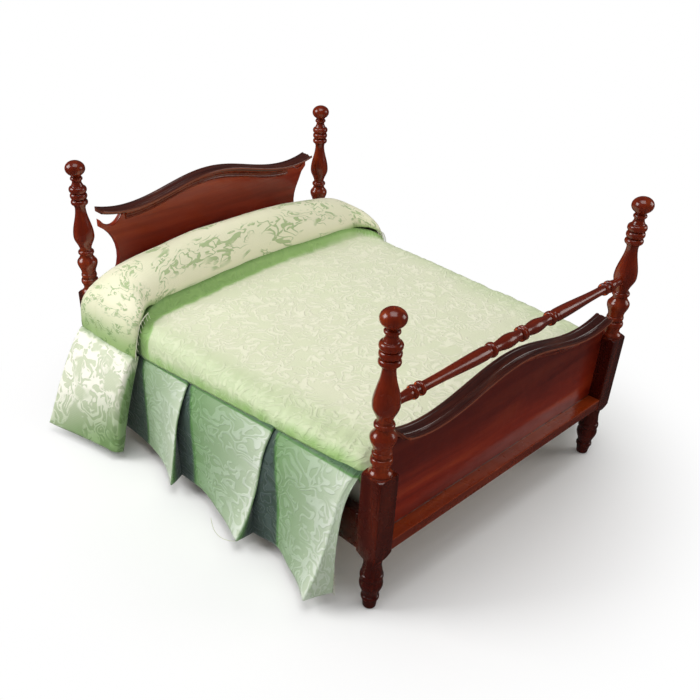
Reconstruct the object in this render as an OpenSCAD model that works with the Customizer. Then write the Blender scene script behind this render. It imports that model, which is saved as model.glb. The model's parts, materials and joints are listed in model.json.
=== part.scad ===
// Miniature four poster bed, one twelfth scale, in millimetres.
// The bed stands on z = 0 with its foot end towards -Y and its head end towards +Y.
// Turned posts carry two panelled ends, and loose bedding lies on slats between the rails.

/* [Frame] */
// Distance between the left and right post axes
post_span_x = 134; // [124:1:144]
// Distance between the foot and head post axes
post_span_y = 168.4; // [160:0.2:176]
// Side of the square block in each post
block_w = 8.4; // [8:0.1:9]
// Height of the bottom of the rails above the floor
rail_z = 25.6; // [25.4:0.1:27]
// Height of each side rail
side_rail_h = 14.4; // [12:0.2:15]
// Thickness of each side rail
side_rail_t = 4; // [3.6:0.1:4.2]

/* [Ends] */
// Thickness of the headboard and footboard panels
panel_t = 2.8; // [2.4:0.1:3]
// Height of the bottom rail of each end
end_rail_h = 4.3; // [4:0.1:5]
// Top of the headboard crest at the bottom of its dips
head_crest_z = 89.7; // [86:0.1:92]
// Top of the footboard crest at the bottom of its dips
foot_crest_z = 66.2; // [65:0.1:68]
// Rise of each crest from its dips to its middle
crest_rise = 6.9; // [5:0.1:8]
// Front to back depth of each crest
crest_depth = 7.5; // [6.5:0.1:7.8]
// Number of reeds worked along each crest
crest_reeds = 5; // [4:1:6]
// Height of the axis of the turned blanket rail
blanket_rail_z = 81.5; // [80:0.1:84]

/* [Slats] */
// Width of each slat
slat_w = 9; // [7:0.5:12]
// Thickness of each slat
slat_t = 2; // [1.6:0.1:2.4]

/* [Bedding] */
// Height of the top of the coverlet at its middle
coverlet_z = 58.6; // [57:0.1:60]
// Height of the bolster above the coverlet
bolster_h = 19.4; // [14:0.2:20]
// Front to back depth of the bolster
bolster_d = 30; // [26:0.5:34]
// Height of the skirt's hem above the floor
hem_z = 5; // [4:0.5:10]
// Distance from one skirt pleat to the next
pleat_pitch = 38.3; // [36:0.1:40]

/* [Hidden] */
$fn = 48;
eps = 0.02;

wood = "#7a2418";
pale_wood = "#b98a5a";
damask = "#dfe7c8";

// Post places and block faces
post_x = post_span_x / 2;
post_y = post_span_y / 2;
block_half = block_w / 2;
block_in_x = post_x - block_half;
block_in_y = post_y - block_half;
block_corner_r = 6.2;
block_bottom_r = 3.3;
block_bottom_z = 22.5;
shoulder_r = 2;
shoulder_z = 57.2;
post_top_z = 113.3;

// Grooves, tongues and dowels
groove_d = 1.6;
tongue_gap = 0.15;
tongue_low_z = 30.4;
tongue_top_z = 54.2;
dowel_r = 1.2;
dowel_len = 5;
fit_gap = 0.05;
dowel_low_z = 29;
dowel_high_z = 36;
end_dowel_y = -1.4;

// The blanket rail's end stops this far from the post's axis, in a bore
blanket_end = 2.2;
blanket_end_r = 1.6;
blanket_bore_len = 5;

// The neck below the finial
neck_r = 2;
neck_low_z = 106;
neck_top_z = 107.2;

// Each panel stands behind the post axes, on the side towards the head
panel_front = 1;
panel_back = panel_front + panel_t;
panel_half = block_in_x - 0.4;
end_rail_top = rail_z + end_rail_h;
rail_groove_d = 1.1;

// Serpentine crest
crest_half = 58.5;
crest_dip_x = 45;
crest_end_r = 44;
crest_t = 2.2;
crest_back = panel_back + 0.1;
reed_w = crest_depth / crest_reeds;
reed_drop = 0.08;
reed_under = 0.15;

// Moulding planted on the panel below each crest, between the slots, in two steps
under_half = 46;
under_step_z = 2.1;
under_step_y = 1;

// Headboard cut-outs
cove_x = 66.7;
cove_z = 69.5;
cove_r = 15.9;
horn_x = 58.4;
horn_z = head_crest_z - 3.2;
slot_x = 47;
slot_dip = 4.2;

// Slats and their cleats
rail_out_x = post_x + block_half - 0.2;
rail_in_x = rail_out_x - side_rail_t;
cleat_w = 3;
cleat_h = 3;
slat_z = rail_z + 1.4 + cleat_h;
slat_count = 7;
slat_pitch = 2 * block_in_y / slat_count;

// Bedding
bed_half_x = 70.2;
bed_half_y = 79.3;
mattress_half_x = 66.2;
mattress_z = slat_z + slat_t;
mattress_edge_r = 6;
mattress_foot_gap = 1.5;
mattress_head_gap = 1;
edge_r = 10;
cloth_t = 1;
crown = 1;
cloth_gap = 0.3;
mattress_top_z = coverlet_z - cloth_t - cloth_gap;
seam_z = coverlet_z - crown - edge_r - 0.6;
bolster_y = bed_half_y - 1.1 - bolster_d / 2;
bolster_z = coverlet_z + cloth_gap;
bolster_half_x = 70;
cover_end_x = 75.6;
cover_low_z = 41;
flap_top_z = cover_low_z - 0.4;
flap_front_y = 43;
flap_front_x = 87.5;
flap_back_x = 97.5;
flap_back_y = 81;
flap_t = 2.4;
hem_t = 0.6;
skirt_top_x = 71.5;
skirt_top_z = 46.4;
skirt_top_t = 1.4;
pleat_lean = 5;
skirt_inner_x = 74.5;
skirt_valley_x = 77;
first_ridge_y = -70.5;
ridge_x = [87, 86, 84.5, 77];

// A turned bead: a half round from one groove to the next
function bead(mid_z, core_r, bead_r, half_h, n = 8) =
    [for (i = [0 : n]) let (a = -90 + 180 * i / n)
        [core_r + (bead_r - core_r) * cos(a), mid_z + half_h * sin(a)]];

// A turned swell or hollow: an S-shaped run from one radius to another
function flow(z1, r1, z2, r2, n = 6) =
    [for (i = [0 : n]) let (t = i / n, s = (1 - cos(180 * t)) / 2)
        [r1 + (r2 - r1) * s, z1 + (z2 - z1) * t]];

// Height of the crest's top line above its dips, at a distance x from the middle
function crest_line(x) =
    abs(x) < crest_dip_x
        ? crest_rise / 2 * (1 + cos(180 * x / crest_dip_x))
        : pow(abs(x) - crest_dip_x, 2) / (2 * crest_end_r);

function mirrored(points) = [for (i = [len(points) - 1 : -1 : 0]) [-points[i].x, points[i].y]];

// ---- Posts ----

module post_turning() {
    foot = concat(
        [[0, 0], [2.2, 0]],
        flow(0.4, 2.35, 3.6, 2.7),
        bead(4.6, 2.7, 3.2, 0.9),
        flow(5.8, 2.8, 10.9, 4.1),
        flow(11, 4.1, 12.9, 3.7),
        bead(14.4, 3.7, 4.05, 1.1),
        flow(15.8, 3.6, 19.6, 3.15),
        [[block_bottom_r, 22.4], [block_bottom_r, 24], [0, 24]]);
    shaft = concat(
        [[0, 55], [4, 55], [4, 57.3]],
        flow(57.5, 3.9, 59.3, 2.8),
        flow(59.5, 2.8, 60.8, 3),
        bead(62.3, 3, 3.6, 1.2),
        bead(65, 2.9, 3.25, 0.8),
        flow(66.4, 3, 70.7, 4.2),
        flow(70.9, 4.2, 73.9, 2.7),
        bead(75.2, 2.6, 3.3, 0.9),
        flow(76.4, 2.4, 82.25, 4.25),
        flow(82.5, 4.25, 94.3, 2.15, 10),
        bead(96.6, 2.5, 3.45, 1.15),
        bead(99.2, 2.6, 3.48, 1.2),
        bead(101.8, 2.6, 3.6, 1.3),
        flow(103.3, 2.4, 104.8, 1.9),
        bead(106.2, 1.9, 2.5, 0.7));
    rotate_extrude() polygon(foot);
    rotate_extrude() polygon(concat(shaft, [[neck_r, neck_top_z], [0, neck_top_z]]));
    rotate_extrude() polygon(finial());
}

// The ball finial, a little flattened
function finial(ball_r = 4, ball_half = 3.1, low = -55, n = 14) =
    concat([[0, neck_low_z], [neck_r, neck_low_z]],
        [for (i = [0 : n]) let (a = low + (90 - low) * i / n)
            [i == n ? 0 : ball_r * cos(a), post_top_z - ball_half + ball_half * sin(a)]]);

module post_block() {
    shoulder = [for (i = [0 : 8]) let (a = 90 * i / 8)
        [block_corner_r - shoulder_r * (1 - cos(a)), shoulder_z - shoulder_r * (1 - sin(a))]];
    bottom_rise = block_corner_r - block_bottom_r;
    intersection() {
        translate([-block_half, -block_half, block_bottom_z])
            cube([block_w, block_w, shoulder_z - block_bottom_z]);
        rotate_extrude()
            polygon(concat(
                [[0, block_bottom_z], [block_bottom_r, block_bottom_z]],
                [[block_corner_r, block_bottom_z + bottom_rise]],
                shoulder,
                [[0, shoulder_z]]));
    }
}

// A post for the left side. side_y is +1 where the side rail leaves towards +Y, else -1.
module left_post(side_y, has_blanket_rail) {
    difference() {
        union() {
            post_turning();
            post_block();
        }
        translate([block_half - groove_d, panel_front - fit_gap, tongue_low_z - fit_gap])
            cube([groove_d + 1, panel_t + 2 * fit_gap, tongue_top_z - tongue_low_z + 2 * fit_gap]);
        translate([block_half, end_dowel_y, rail_z + end_rail_h / 2])
            rotate([0, 90, 0]) dowel_bore();
        for (z = [dowel_low_z, dowel_high_z])
            translate([-(rail_out_x - side_rail_t / 2 - post_x), side_y * block_half, z])
                rotate([90, 0, 0]) dowel_bore();
        if (has_blanket_rail)
            translate([blanket_end - 2 * fit_gap, 0, blanket_rail_z])
                rotate([0, 90, 0]) cylinder(r = blanket_end_r + fit_gap, h = blanket_bore_len);
    }
}

module dowel_bore() {
    cylinder(r = dowel_r + fit_gap, h = dowel_len + 2 * fit_gap, center = true);
}

module foot_post_left() {
    color(wood) translate([-post_x, -post_y, 0]) left_post(1, true);
}

module foot_post_right() {
    color(wood) mirror([1, 0, 0]) translate([-post_x, -post_y, 0]) left_post(1, true);
}

module head_post_left() {
    color(wood) translate([-post_x, post_y, 0]) left_post(-1, false);
}

module head_post_right() {
    color(wood) mirror([1, 0, 0]) translate([-post_x, post_y, 0]) left_post(-1, false);
}

// ---- Ends ----

// Stands a flat outline up in the XZ plane, from y0 to y1
module upright(y0, y1) {
    translate([0, y1, 0]) rotate([90, 0, 0]) linear_extrude(y1 - y0) children();
}

// A strip that follows the serpentine line, from its low to its top height above the dips
module serpentine(half, low, top, y0, y1) {
    steps = 36;
    upright(y0, y1)
        polygon(concat(
            [for (k = [0 : steps]) let (x = -half + 2 * half * k / steps) [x, top + crest_line(x)]],
            [for (k = [steps : -1 : 0]) let (x = -half + 2 * half * k / steps) [x, low + crest_line(x)]]));
}

// The crest, built up of reeds side by side, with a stepped moulding below it on the panel
module crest(axis_y, dip_z) {
    for (i = [0 : crest_reeds - 1]) {
        back = axis_y + crest_back - i * reed_w;
        serpentine(
            crest_half - (i % 2) * 0.35,
            dip_z - crest_t - reed_under * max(0, i - 1),
            dip_z - reed_drop * i,
            back - reed_w - (i < crest_reeds - 1 ? eps : 0),
            back);
    }
    face_y = axis_y + panel_front - fit_gap;
    for (i = [1 : 2])
        serpentine(
            under_half,
            dip_z - crest_t - under_step_z * i,
            dip_z - crest_t + eps,
            face_y - under_step_y * (3 - i),
            face_y);
}

// The tongue that enters the post's groove, and the panel's side below the shoulders
function panel_side(top_z) = [
    [panel_half, end_rail_top - rail_groove_d + fit_gap],
    [panel_half, tongue_low_z],
    [block_in_x + groove_d - tongue_gap, tongue_low_z],
    [block_in_x + groove_d - tongue_gap, tongue_top_z],
    [panel_half, tongue_top_z],
    [panel_half, top_z]
];

// Points under a crest, from one side of the middle to the other
function under_crest(dip_z, half, steps) =
    [for (k = [0 : steps]) let (x = half - 2 * half * k / steps)
        [x, dip_z - crest_t - fit_gap + crest_line(x)]];

module footboard_panel() {
    corner_r = 4;
    corner_z = foot_crest_z - crest_t + crest_line(crest_half) - corner_r - 2;
    side = concat(panel_side(corner_z),
        [for (i = [1 : 5]) let (a = 90 * i / 6)
            [panel_half - corner_r * (1 - cos(a)), corner_z + (corner_r + 1.6) * sin(a)]]);
    color(wood)
        upright(-post_y + panel_front, -post_y + panel_back)
            polygon(concat(side, under_crest(foot_crest_z, crest_half - 0.4, 32), mirrored(side)));
}

module footboard_crest() {
    color(wood) crest(-post_y, foot_crest_z);
}

module headboard_panel() {
    steps = 12;
    low_a = acos((panel_half - cove_x) / cove_r);
    top_a = acos((horn_x - cove_x) / cove_r);
    cove = [for (i = [0 : steps]) let (a = -low_a + (low_a - 360 + top_a) * i / steps)
        [cove_x + cove_r * cos(a), cove_z + cove_r * sin(a)]];
    slot_z = horn_z - slot_dip + 0.5;
    slot = [for (i = [0 : steps]) let (s = i / steps, t = 2 * s - 1)
        [horn_x - (horn_x - slot_x) * s, slot_z + slot_dip * t * t + 0.5 * t]];
    side = concat(
        [for (p = panel_side(tongue_top_z)) if (p.y < tongue_top_z || p.x > panel_half) p],
        cove, slot);
    color(wood)
        upright(post_y + panel_front, post_y + panel_back)
            polygon(concat(side, under_crest(head_crest_z, slot_x - 0.2, 32), mirrored(side)));
}

module headboard_crest() {
    color(wood) crest(post_y, head_crest_z);
}

// The bottom rail of an end, grooved on top for the panel
module end_rail(axis_y) {
    difference() {
        translate([-block_in_x + fit_gap, axis_y - block_half + 0.2, rail_z])
            cube([2 * (block_in_x - fit_gap), panel_back + block_half - 0.1, end_rail_h]);
        translate([-block_in_x, axis_y + panel_front - fit_gap, end_rail_top - rail_groove_d])
            cube([2 * block_in_x, panel_t + 2 * fit_gap, end_rail_h]);
        for (side = [-1, 1])
            translate([side * block_in_x, axis_y + end_dowel_y, rail_z + end_rail_h / 2])
                rotate([0, 90, 0]) dowel_bore();
    }
}

module footboard_rail() {
    color(wood) end_rail(-post_y);
}

module headboard_rail() {
    color(wood) end_rail(post_y);
}

// One half of the turned blanket rail, from the middle out to the post
module blanket_rail() {
    end_x = post_x - blanket_end;
    half = concat(
        bead(0.7, 1.9, 2.75, 0.7, 6),
        flow(1.9, 1.9, 7.5, 2.5),
        flow(7.9, 2.5, 14.6, 1.8),
        bead(16.8, 1.9, 2.7, 1.2),
        flow(18.4, 2.2, 20.8, 2.45),
        flow(21.2, 2.45, 48.4, 1.7, 10),
        bead(52, 1.7, 2.45, 0.9),
        bead(55.3, 1.7, 2.45, 0.9),
        flow(56.8, 1.9, 60.5, blanket_end_r),
        [[blanket_end_r, end_x], [0, end_x]]);
    color(wood)
        translate([0, -post_y, blanket_rail_z])
            for (side = [-1, 1])
                rotate([0, side * 90, 0]) rotate_extrude() polygon(concat([[0, 0]], half));
}

// ---- Rails, cleats, dowels and slats ----

module side_rail() {
    mid_x = rail_out_x - side_rail_t / 2;
    difference() {
        translate([rail_in_x, -block_in_y + fit_gap, rail_z])
            cube([side_rail_t, 2 * (block_in_y - fit_gap), side_rail_h]);
        for (end = [-1, 1], z = [dowel_low_z, dowel_high_z])
            translate([mid_x, end * block_in_y, z]) rotate([90, 0, 0]) dowel_bore();
    }
}

module side_rail_left() {
    color(wood) mirror([1, 0, 0]) side_rail();
}

module side_rail_right() {
    color(wood) side_rail();
}

module cleat() {
    inset = 2;
    translate([rail_in_x - cleat_w - eps, -block_in_y + inset, slat_z - cleat_h])
        cube([cleat_w, 2 * (block_in_y - inset), cleat_h - eps]);
}

module cleat_left() {
    color(pale_wood) mirror([1, 0, 0]) cleat();
}

module cleat_right() {
    color(pale_wood) cleat();
}

module dowel() {
    cylinder(r = dowel_r, h = dowel_len, center = true);
}

module joint_dowels() {
    mid_x = rail_out_x - side_rail_t / 2;
    color(pale_wood) {
        for (side = [-1, 1], end = [-1, 1], z = [dowel_low_z, dowel_high_z])
            translate([side * mid_x, end * block_in_y, z]) rotate([90, 0, 0]) dowel();
        for (side = [-1, 1], end = [-1, 1])
            translate([side * block_in_x, end * post_y + end_dowel_y, rail_z + end_rail_h / 2])
                rotate([0, 90, 0]) dowel();
    }
}

module slat(i) {
    reach = rail_in_x - 0.3;
    mid_y = -block_in_y + (i - 0.5) * slat_pitch;
    color(pale_wood)
        translate([-reach, mid_y - slat_w / 2, slat_z])
            cube([2 * reach, slat_w, slat_t]);
}

// ---- Bedding ----

// Half of a crowned bed section: up the side, round the edge and over to the middle
function bed_section(half_x, low_z, top_z, r, rise) = concat(
    [[half_x, low_z]],
    [for (i = [0 : 8]) let (a = 90 * i / 8) [half_x - r * (1 - cos(a)), top_z - rise - r * (1 - sin(a))]],
    [for (i = [1 : 7]) let (t = i / 8) [(half_x - r) * (1 - t), top_z - rise * (1 - sin(90 * t))]]);

module mattress() {
    half = bed_section(mattress_half_x, mattress_z + eps, mattress_top_z, mattress_edge_r, crown);
    color(damask)
        upright(-bed_half_y + mattress_foot_gap, bed_half_y - mattress_head_gap)
            polygon(concat(half, [[0, mattress_top_z]], mirrored(half)));
}

module coverlet_top() {
    outer = bed_section(bed_half_x, seam_z, coverlet_z, edge_r, crown);
    inner = bed_section(bed_half_x - cloth_t, seam_z, coverlet_z - cloth_t, edge_r - cloth_t, crown);
    outside = concat(outer, [[0, coverlet_z]], mirrored(outer));
    inside = concat(inner, [[0, coverlet_z - cloth_t]], mirrored(inner));
    color(damask)
        upright(-bed_half_y + 0.2, bed_half_y)
            difference() {
                polygon(outside);
                polygon(inside);
            }
}

// The bolster's section, seen from its end: flat below and domed above
function bolster_section(grow, low_z) =
    let (half = bolster_d / 2 + grow, top = bolster_h + grow)
    concat([[half, low_z]],
        [for (i = [0 : 16]) let (a = 180 * i / 16)
            [half * sign(cos(a)) * pow(abs(cos(a)), 0.75), bolster_z + top * pow(sin(a), 0.75)]],
        [[-half, low_z]]);

// Lays a section along X; its first coordinate runs towards +Y
module along_x(x0, x1) {
    translate([x0, 0, 0]) rotate([90, 0, 90]) linear_extrude(x1 - x0) children();
}

module bolster() {
    color(damask)
        along_x(-bolster_half_x, bolster_half_x)
            translate([bolster_y, 0]) polygon(bolster_section(0, bolster_z));
}

module bolster_cover() {
    end_t = 4.2;
    grow = cloth_gap + cloth_t;
    top_half_x = bolster_half_x + 1;
    color(damask) {
        along_x(-top_half_x, top_half_x)
            translate([bolster_y, 0])
                difference() {
                    polygon(bolster_section(grow, bolster_z));
                    polygon(bolster_section(cloth_gap, bolster_z - 1));
                }
        for (x0 = [-cover_end_x, cover_end_x - end_t])
            along_x(x0, x0 + end_t)
                translate([bolster_y, 0]) polygon(bolster_section(grow - 0.5, cover_low_z));
    }
}

// A hanging pleat: narrow at the seam, and flared out to a ridge at the hem.
// The last one, at the head, hangs from below the bolster cover.
module pleat(i) {
    y_low = first_ridge_y + i * pleat_pitch;
    y_high = min(y_low + pleat_pitch - 0.4, bed_half_y - 0.5);
    top_z = i < 3 ? skirt_top_z : flap_top_z;
    hull() {
        translate([skirt_top_x, y_low - pleat_lean, top_z - hem_t])
            cube([skirt_top_t, y_high - y_low, hem_t]);
        translate([0, 0, hem_z])
            linear_extrude(hem_t)
                polygon([
                    [skirt_inner_x, y_low], [ridge_x[i], y_low],
                    [skirt_valley_x, y_high], [skirt_inner_x, y_high]]);
    }
}

module skirt() {
    for (i = [0 : 3]) pleat(i);
}

module skirt_left() {
    color(damask) mirror([1, 0, 0]) skirt();
}

module skirt_right() {
    color(damask) skirt();
}

// The stiff end of the bolster cover, which stands out from the side of the bed
module flap() {
    hull() {
        translate([cover_end_x - flap_t, flap_front_y, flap_top_z - hem_t])
            cube([flap_t, bed_half_y - flap_front_y, hem_t]);
        translate([0, 0, hem_z])
            linear_extrude(hem_t)
                polygon([
                    [flap_front_x - flap_t, flap_front_y], [flap_front_x, flap_front_y],
                    [flap_back_x, flap_back_y], [flap_back_x - flap_t, flap_back_y]]);
    }
}

module flap_left() {
    color(damask) mirror([1, 0, 0]) flap();
}

module flap_right() {
    color(damask) flap();
}

foot_post_left();
foot_post_right();
head_post_left();
head_post_right();
footboard_panel();
footboard_crest();
footboard_rail();
blanket_rail();
headboard_panel();
headboard_crest();
headboard_rail();
side_rail_left();
side_rail_right();
cleat_left();
cleat_right();
joint_dowels();
for (i = [1 : slat_count])
    slat(i);
mattress();
bolster();
coverlet_top();
skirt_left();
skirt_right();
bolster_cover();
flap_left();
flap_right();
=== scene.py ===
import json
import math

import bpy
from mathutils import Euler, Matrix, Vector, noise

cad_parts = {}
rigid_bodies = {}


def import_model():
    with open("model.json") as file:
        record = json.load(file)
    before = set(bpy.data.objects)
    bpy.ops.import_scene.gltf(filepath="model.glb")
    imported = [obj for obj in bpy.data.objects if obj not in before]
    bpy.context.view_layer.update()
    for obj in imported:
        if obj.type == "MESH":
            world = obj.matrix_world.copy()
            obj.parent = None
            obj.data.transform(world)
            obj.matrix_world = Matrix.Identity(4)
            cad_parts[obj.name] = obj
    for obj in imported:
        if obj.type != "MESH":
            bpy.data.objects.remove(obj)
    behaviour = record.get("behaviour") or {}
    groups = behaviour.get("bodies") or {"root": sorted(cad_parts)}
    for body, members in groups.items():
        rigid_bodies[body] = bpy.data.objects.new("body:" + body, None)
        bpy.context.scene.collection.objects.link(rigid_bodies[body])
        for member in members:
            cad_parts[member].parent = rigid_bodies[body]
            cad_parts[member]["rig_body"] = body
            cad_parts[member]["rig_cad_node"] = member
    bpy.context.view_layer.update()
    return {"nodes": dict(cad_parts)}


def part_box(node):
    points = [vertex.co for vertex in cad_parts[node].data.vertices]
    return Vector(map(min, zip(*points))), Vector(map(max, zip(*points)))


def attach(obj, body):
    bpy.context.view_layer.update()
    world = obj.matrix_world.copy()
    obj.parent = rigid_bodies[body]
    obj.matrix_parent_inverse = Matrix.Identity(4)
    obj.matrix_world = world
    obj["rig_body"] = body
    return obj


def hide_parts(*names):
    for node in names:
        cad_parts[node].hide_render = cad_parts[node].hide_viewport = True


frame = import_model()
mm = 0.001

# the camera comes first, so that every piece can be judged through it

cameraView = {
    "place": (-0.2236, -0.2149, 0.2147),
    "yaw": 42.91,     # turned from +Y towards +X
    "pitch": -33.71,
    "roll": 0.87,
    "lens": 42.99,
    "shift": (0.0754, 0.0859),
}


def addCamera():
    level = Euler((math.radians(90 + cameraView["pitch"]), 0, math.radians(-cameraView["yaw"])))
    roll = Matrix.Rotation(math.radians(cameraView["roll"]), 3, "Z")
    turn = (level.to_matrix() @ roll).to_euler()
    bpy.ops.object.camera_add(location=cameraView["place"], rotation=turn)
    camera = bpy.context.object
    camera.data.lens = cameraView["lens"]
    camera.data.shift_x, camera.data.shift_y = cameraView["shift"]
    camera.data.clip_start = 0.01
    bpy.context.scene.camera = camera


def deselectAll():
    bpy.ops.object.select_all(action="DESELECT")


def pickOnly(piece):
    deselectAll()
    piece.select_set(True)
    bpy.context.view_layer.objects.active = piece


def copyOfNode(node, flatten=False):
    # a loose copy of a CAD node, with its doubled points merged and, if asked, its flats made whole
    piece = frame["nodes"][node].copy()
    piece.data = piece.data.copy()
    piece.parent = None
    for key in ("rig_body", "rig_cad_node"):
        del piece[key]
    bpy.context.scene.collection.objects.link(piece)
    pickOnly(piece)
    bpy.ops.object.mode_set(mode="EDIT")
    bpy.ops.mesh.select_all(action="SELECT")
    bpy.ops.mesh.remove_doubles(threshold=0.000005)
    if flatten:
        bpy.ops.mesh.dissolve_limited(angle_limit=math.radians(1))
    bpy.ops.object.mode_set(mode="OBJECT")
    return piece


def applyModifiers(piece):
    pickOnly(piece)
    for modifier in list(piece.modifiers):
        bpy.ops.object.modifier_apply(modifier=modifier.name)


def addModifier(piece, kind, **settings):
    modifier = piece.modifiers.new(kind.title(), kind)
    for key, value in settings.items():
        setattr(modifier, key, value)
    return modifier


def smoothByAngle(piece, degrees):
    pickOnly(piece)
    bpy.ops.object.shade_smooth_by_angle(angle=math.radians(degrees))


def settle(piece):
    # the finished piece's object goes to the origin, with its place in its mesh
    pickOnly(piece)
    bpy.ops.object.transform_apply(location=True, rotation=True, scale=True)


def finishPiece(piece, name, material, body, nodes=()):
    settle(piece)
    piece.name = name
    piece.data.name = name
    piece.data.materials.clear()
    piece.data.materials.append(material)
    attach(piece, body)
    if nodes:
        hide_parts(*nodes)
    return piece


def emptyMaterial(name):
    material = bpy.data.materials.new(name)
    material.use_nodes = True
    material.node_tree.nodes.clear()
    return material, material.node_tree.nodes, material.node_tree.links


def layOutNodes(columns):
    # columns of nodes from left to right, as they are read
    for column, nodes in enumerate(columns):
        for row, node in enumerate(nodes):
            node.location = (240 * column, -260 * row)


def clamp(value, low=0.0, high=1.0):
    return max(low, min(high, value))


def smooth(low, high, value):
    t = clamp((value - low) / (high - low))
    return t * t * (3 - 2 * t)


def mix(a, b, t):
    return a + (b - a) * t


def ripple(x, y, z, size):
    # even noise from -1 to 1 over lengths of about size
    return noise.noise(Vector((x / size, y / size, z / size)))


# the shade entry, where given, is painted shade by height: where it starts, where it is full, and its tint
plainStain = {
    "dark": (0.080, 0.0055, 0.0012), "middle": (0.150, 0.0130, 0.0022), "bright": (0.30, 0.044, 0.006),
}
lacquers = {
    # painted shade darkens the posts below their blocks' tops and the side rails below 40 mm
    "posts": {**plainStain, "grainAxis": 2, "gloss": 0.20, "paintedShade": (0.0585, 0.0565, (0.34, 0.28, 0.6))},
    "across": {**plainStain, "grainAxis": 0, "gloss": 0.22},
    "along": {**plainStain, "grainAxis": 1, "gloss": 0.24, "paintedShade": (0.05, 0.04, (0.3, 0.3, 0.6))},
    # painted shade darkens the headboard towards its foot
    "headboard": {
        "dark": (0.20, 0.015, 0.002), "middle": (0.34, 0.030, 0.004), "bright": (0.48, 0.060, 0.009),
        "grainAxis": 0, "gloss": 0.28, "paintedShade": (0.090, 0.060, (0.42, 0.16, 0.4)),
    },
    # painted shade darkens the footboard towards its crest
    "footboard": {
        "dark": (0.13, 0.006, 0.0015), "middle": (0.23, 0.014, 0.0025), "bright": (0.36, 0.042, 0.006),
        "grainAxis": 0, "gloss": 0.28, "paintedShade": (0.035, 0.058, (0.45, 0.40, 0.7)),
    },
    # a brighter stain, with painted shade below the top face, paints the ledge's top as lit and its front
    # in shade
    "ledge": {
        "dark": (0.12, 0.010, 0.002), "middle": (0.26, 0.034, 0.005), "bright": (0.42, 0.075, 0.012),
        "grainAxis": 0, "gloss": 0.24, "paintedShade": (0.0297, 0.0290, (0.5, 0.4, 0.7)),
    },
    "crest": {
        "dark": (0.022, 0.004, 0.003), "middle": (0.055, 0.010, 0.006), "bright": (0.13, 0.034, 0.016),
        "grainAxis": 0, "gloss": 0.30,
    },
}


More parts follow.
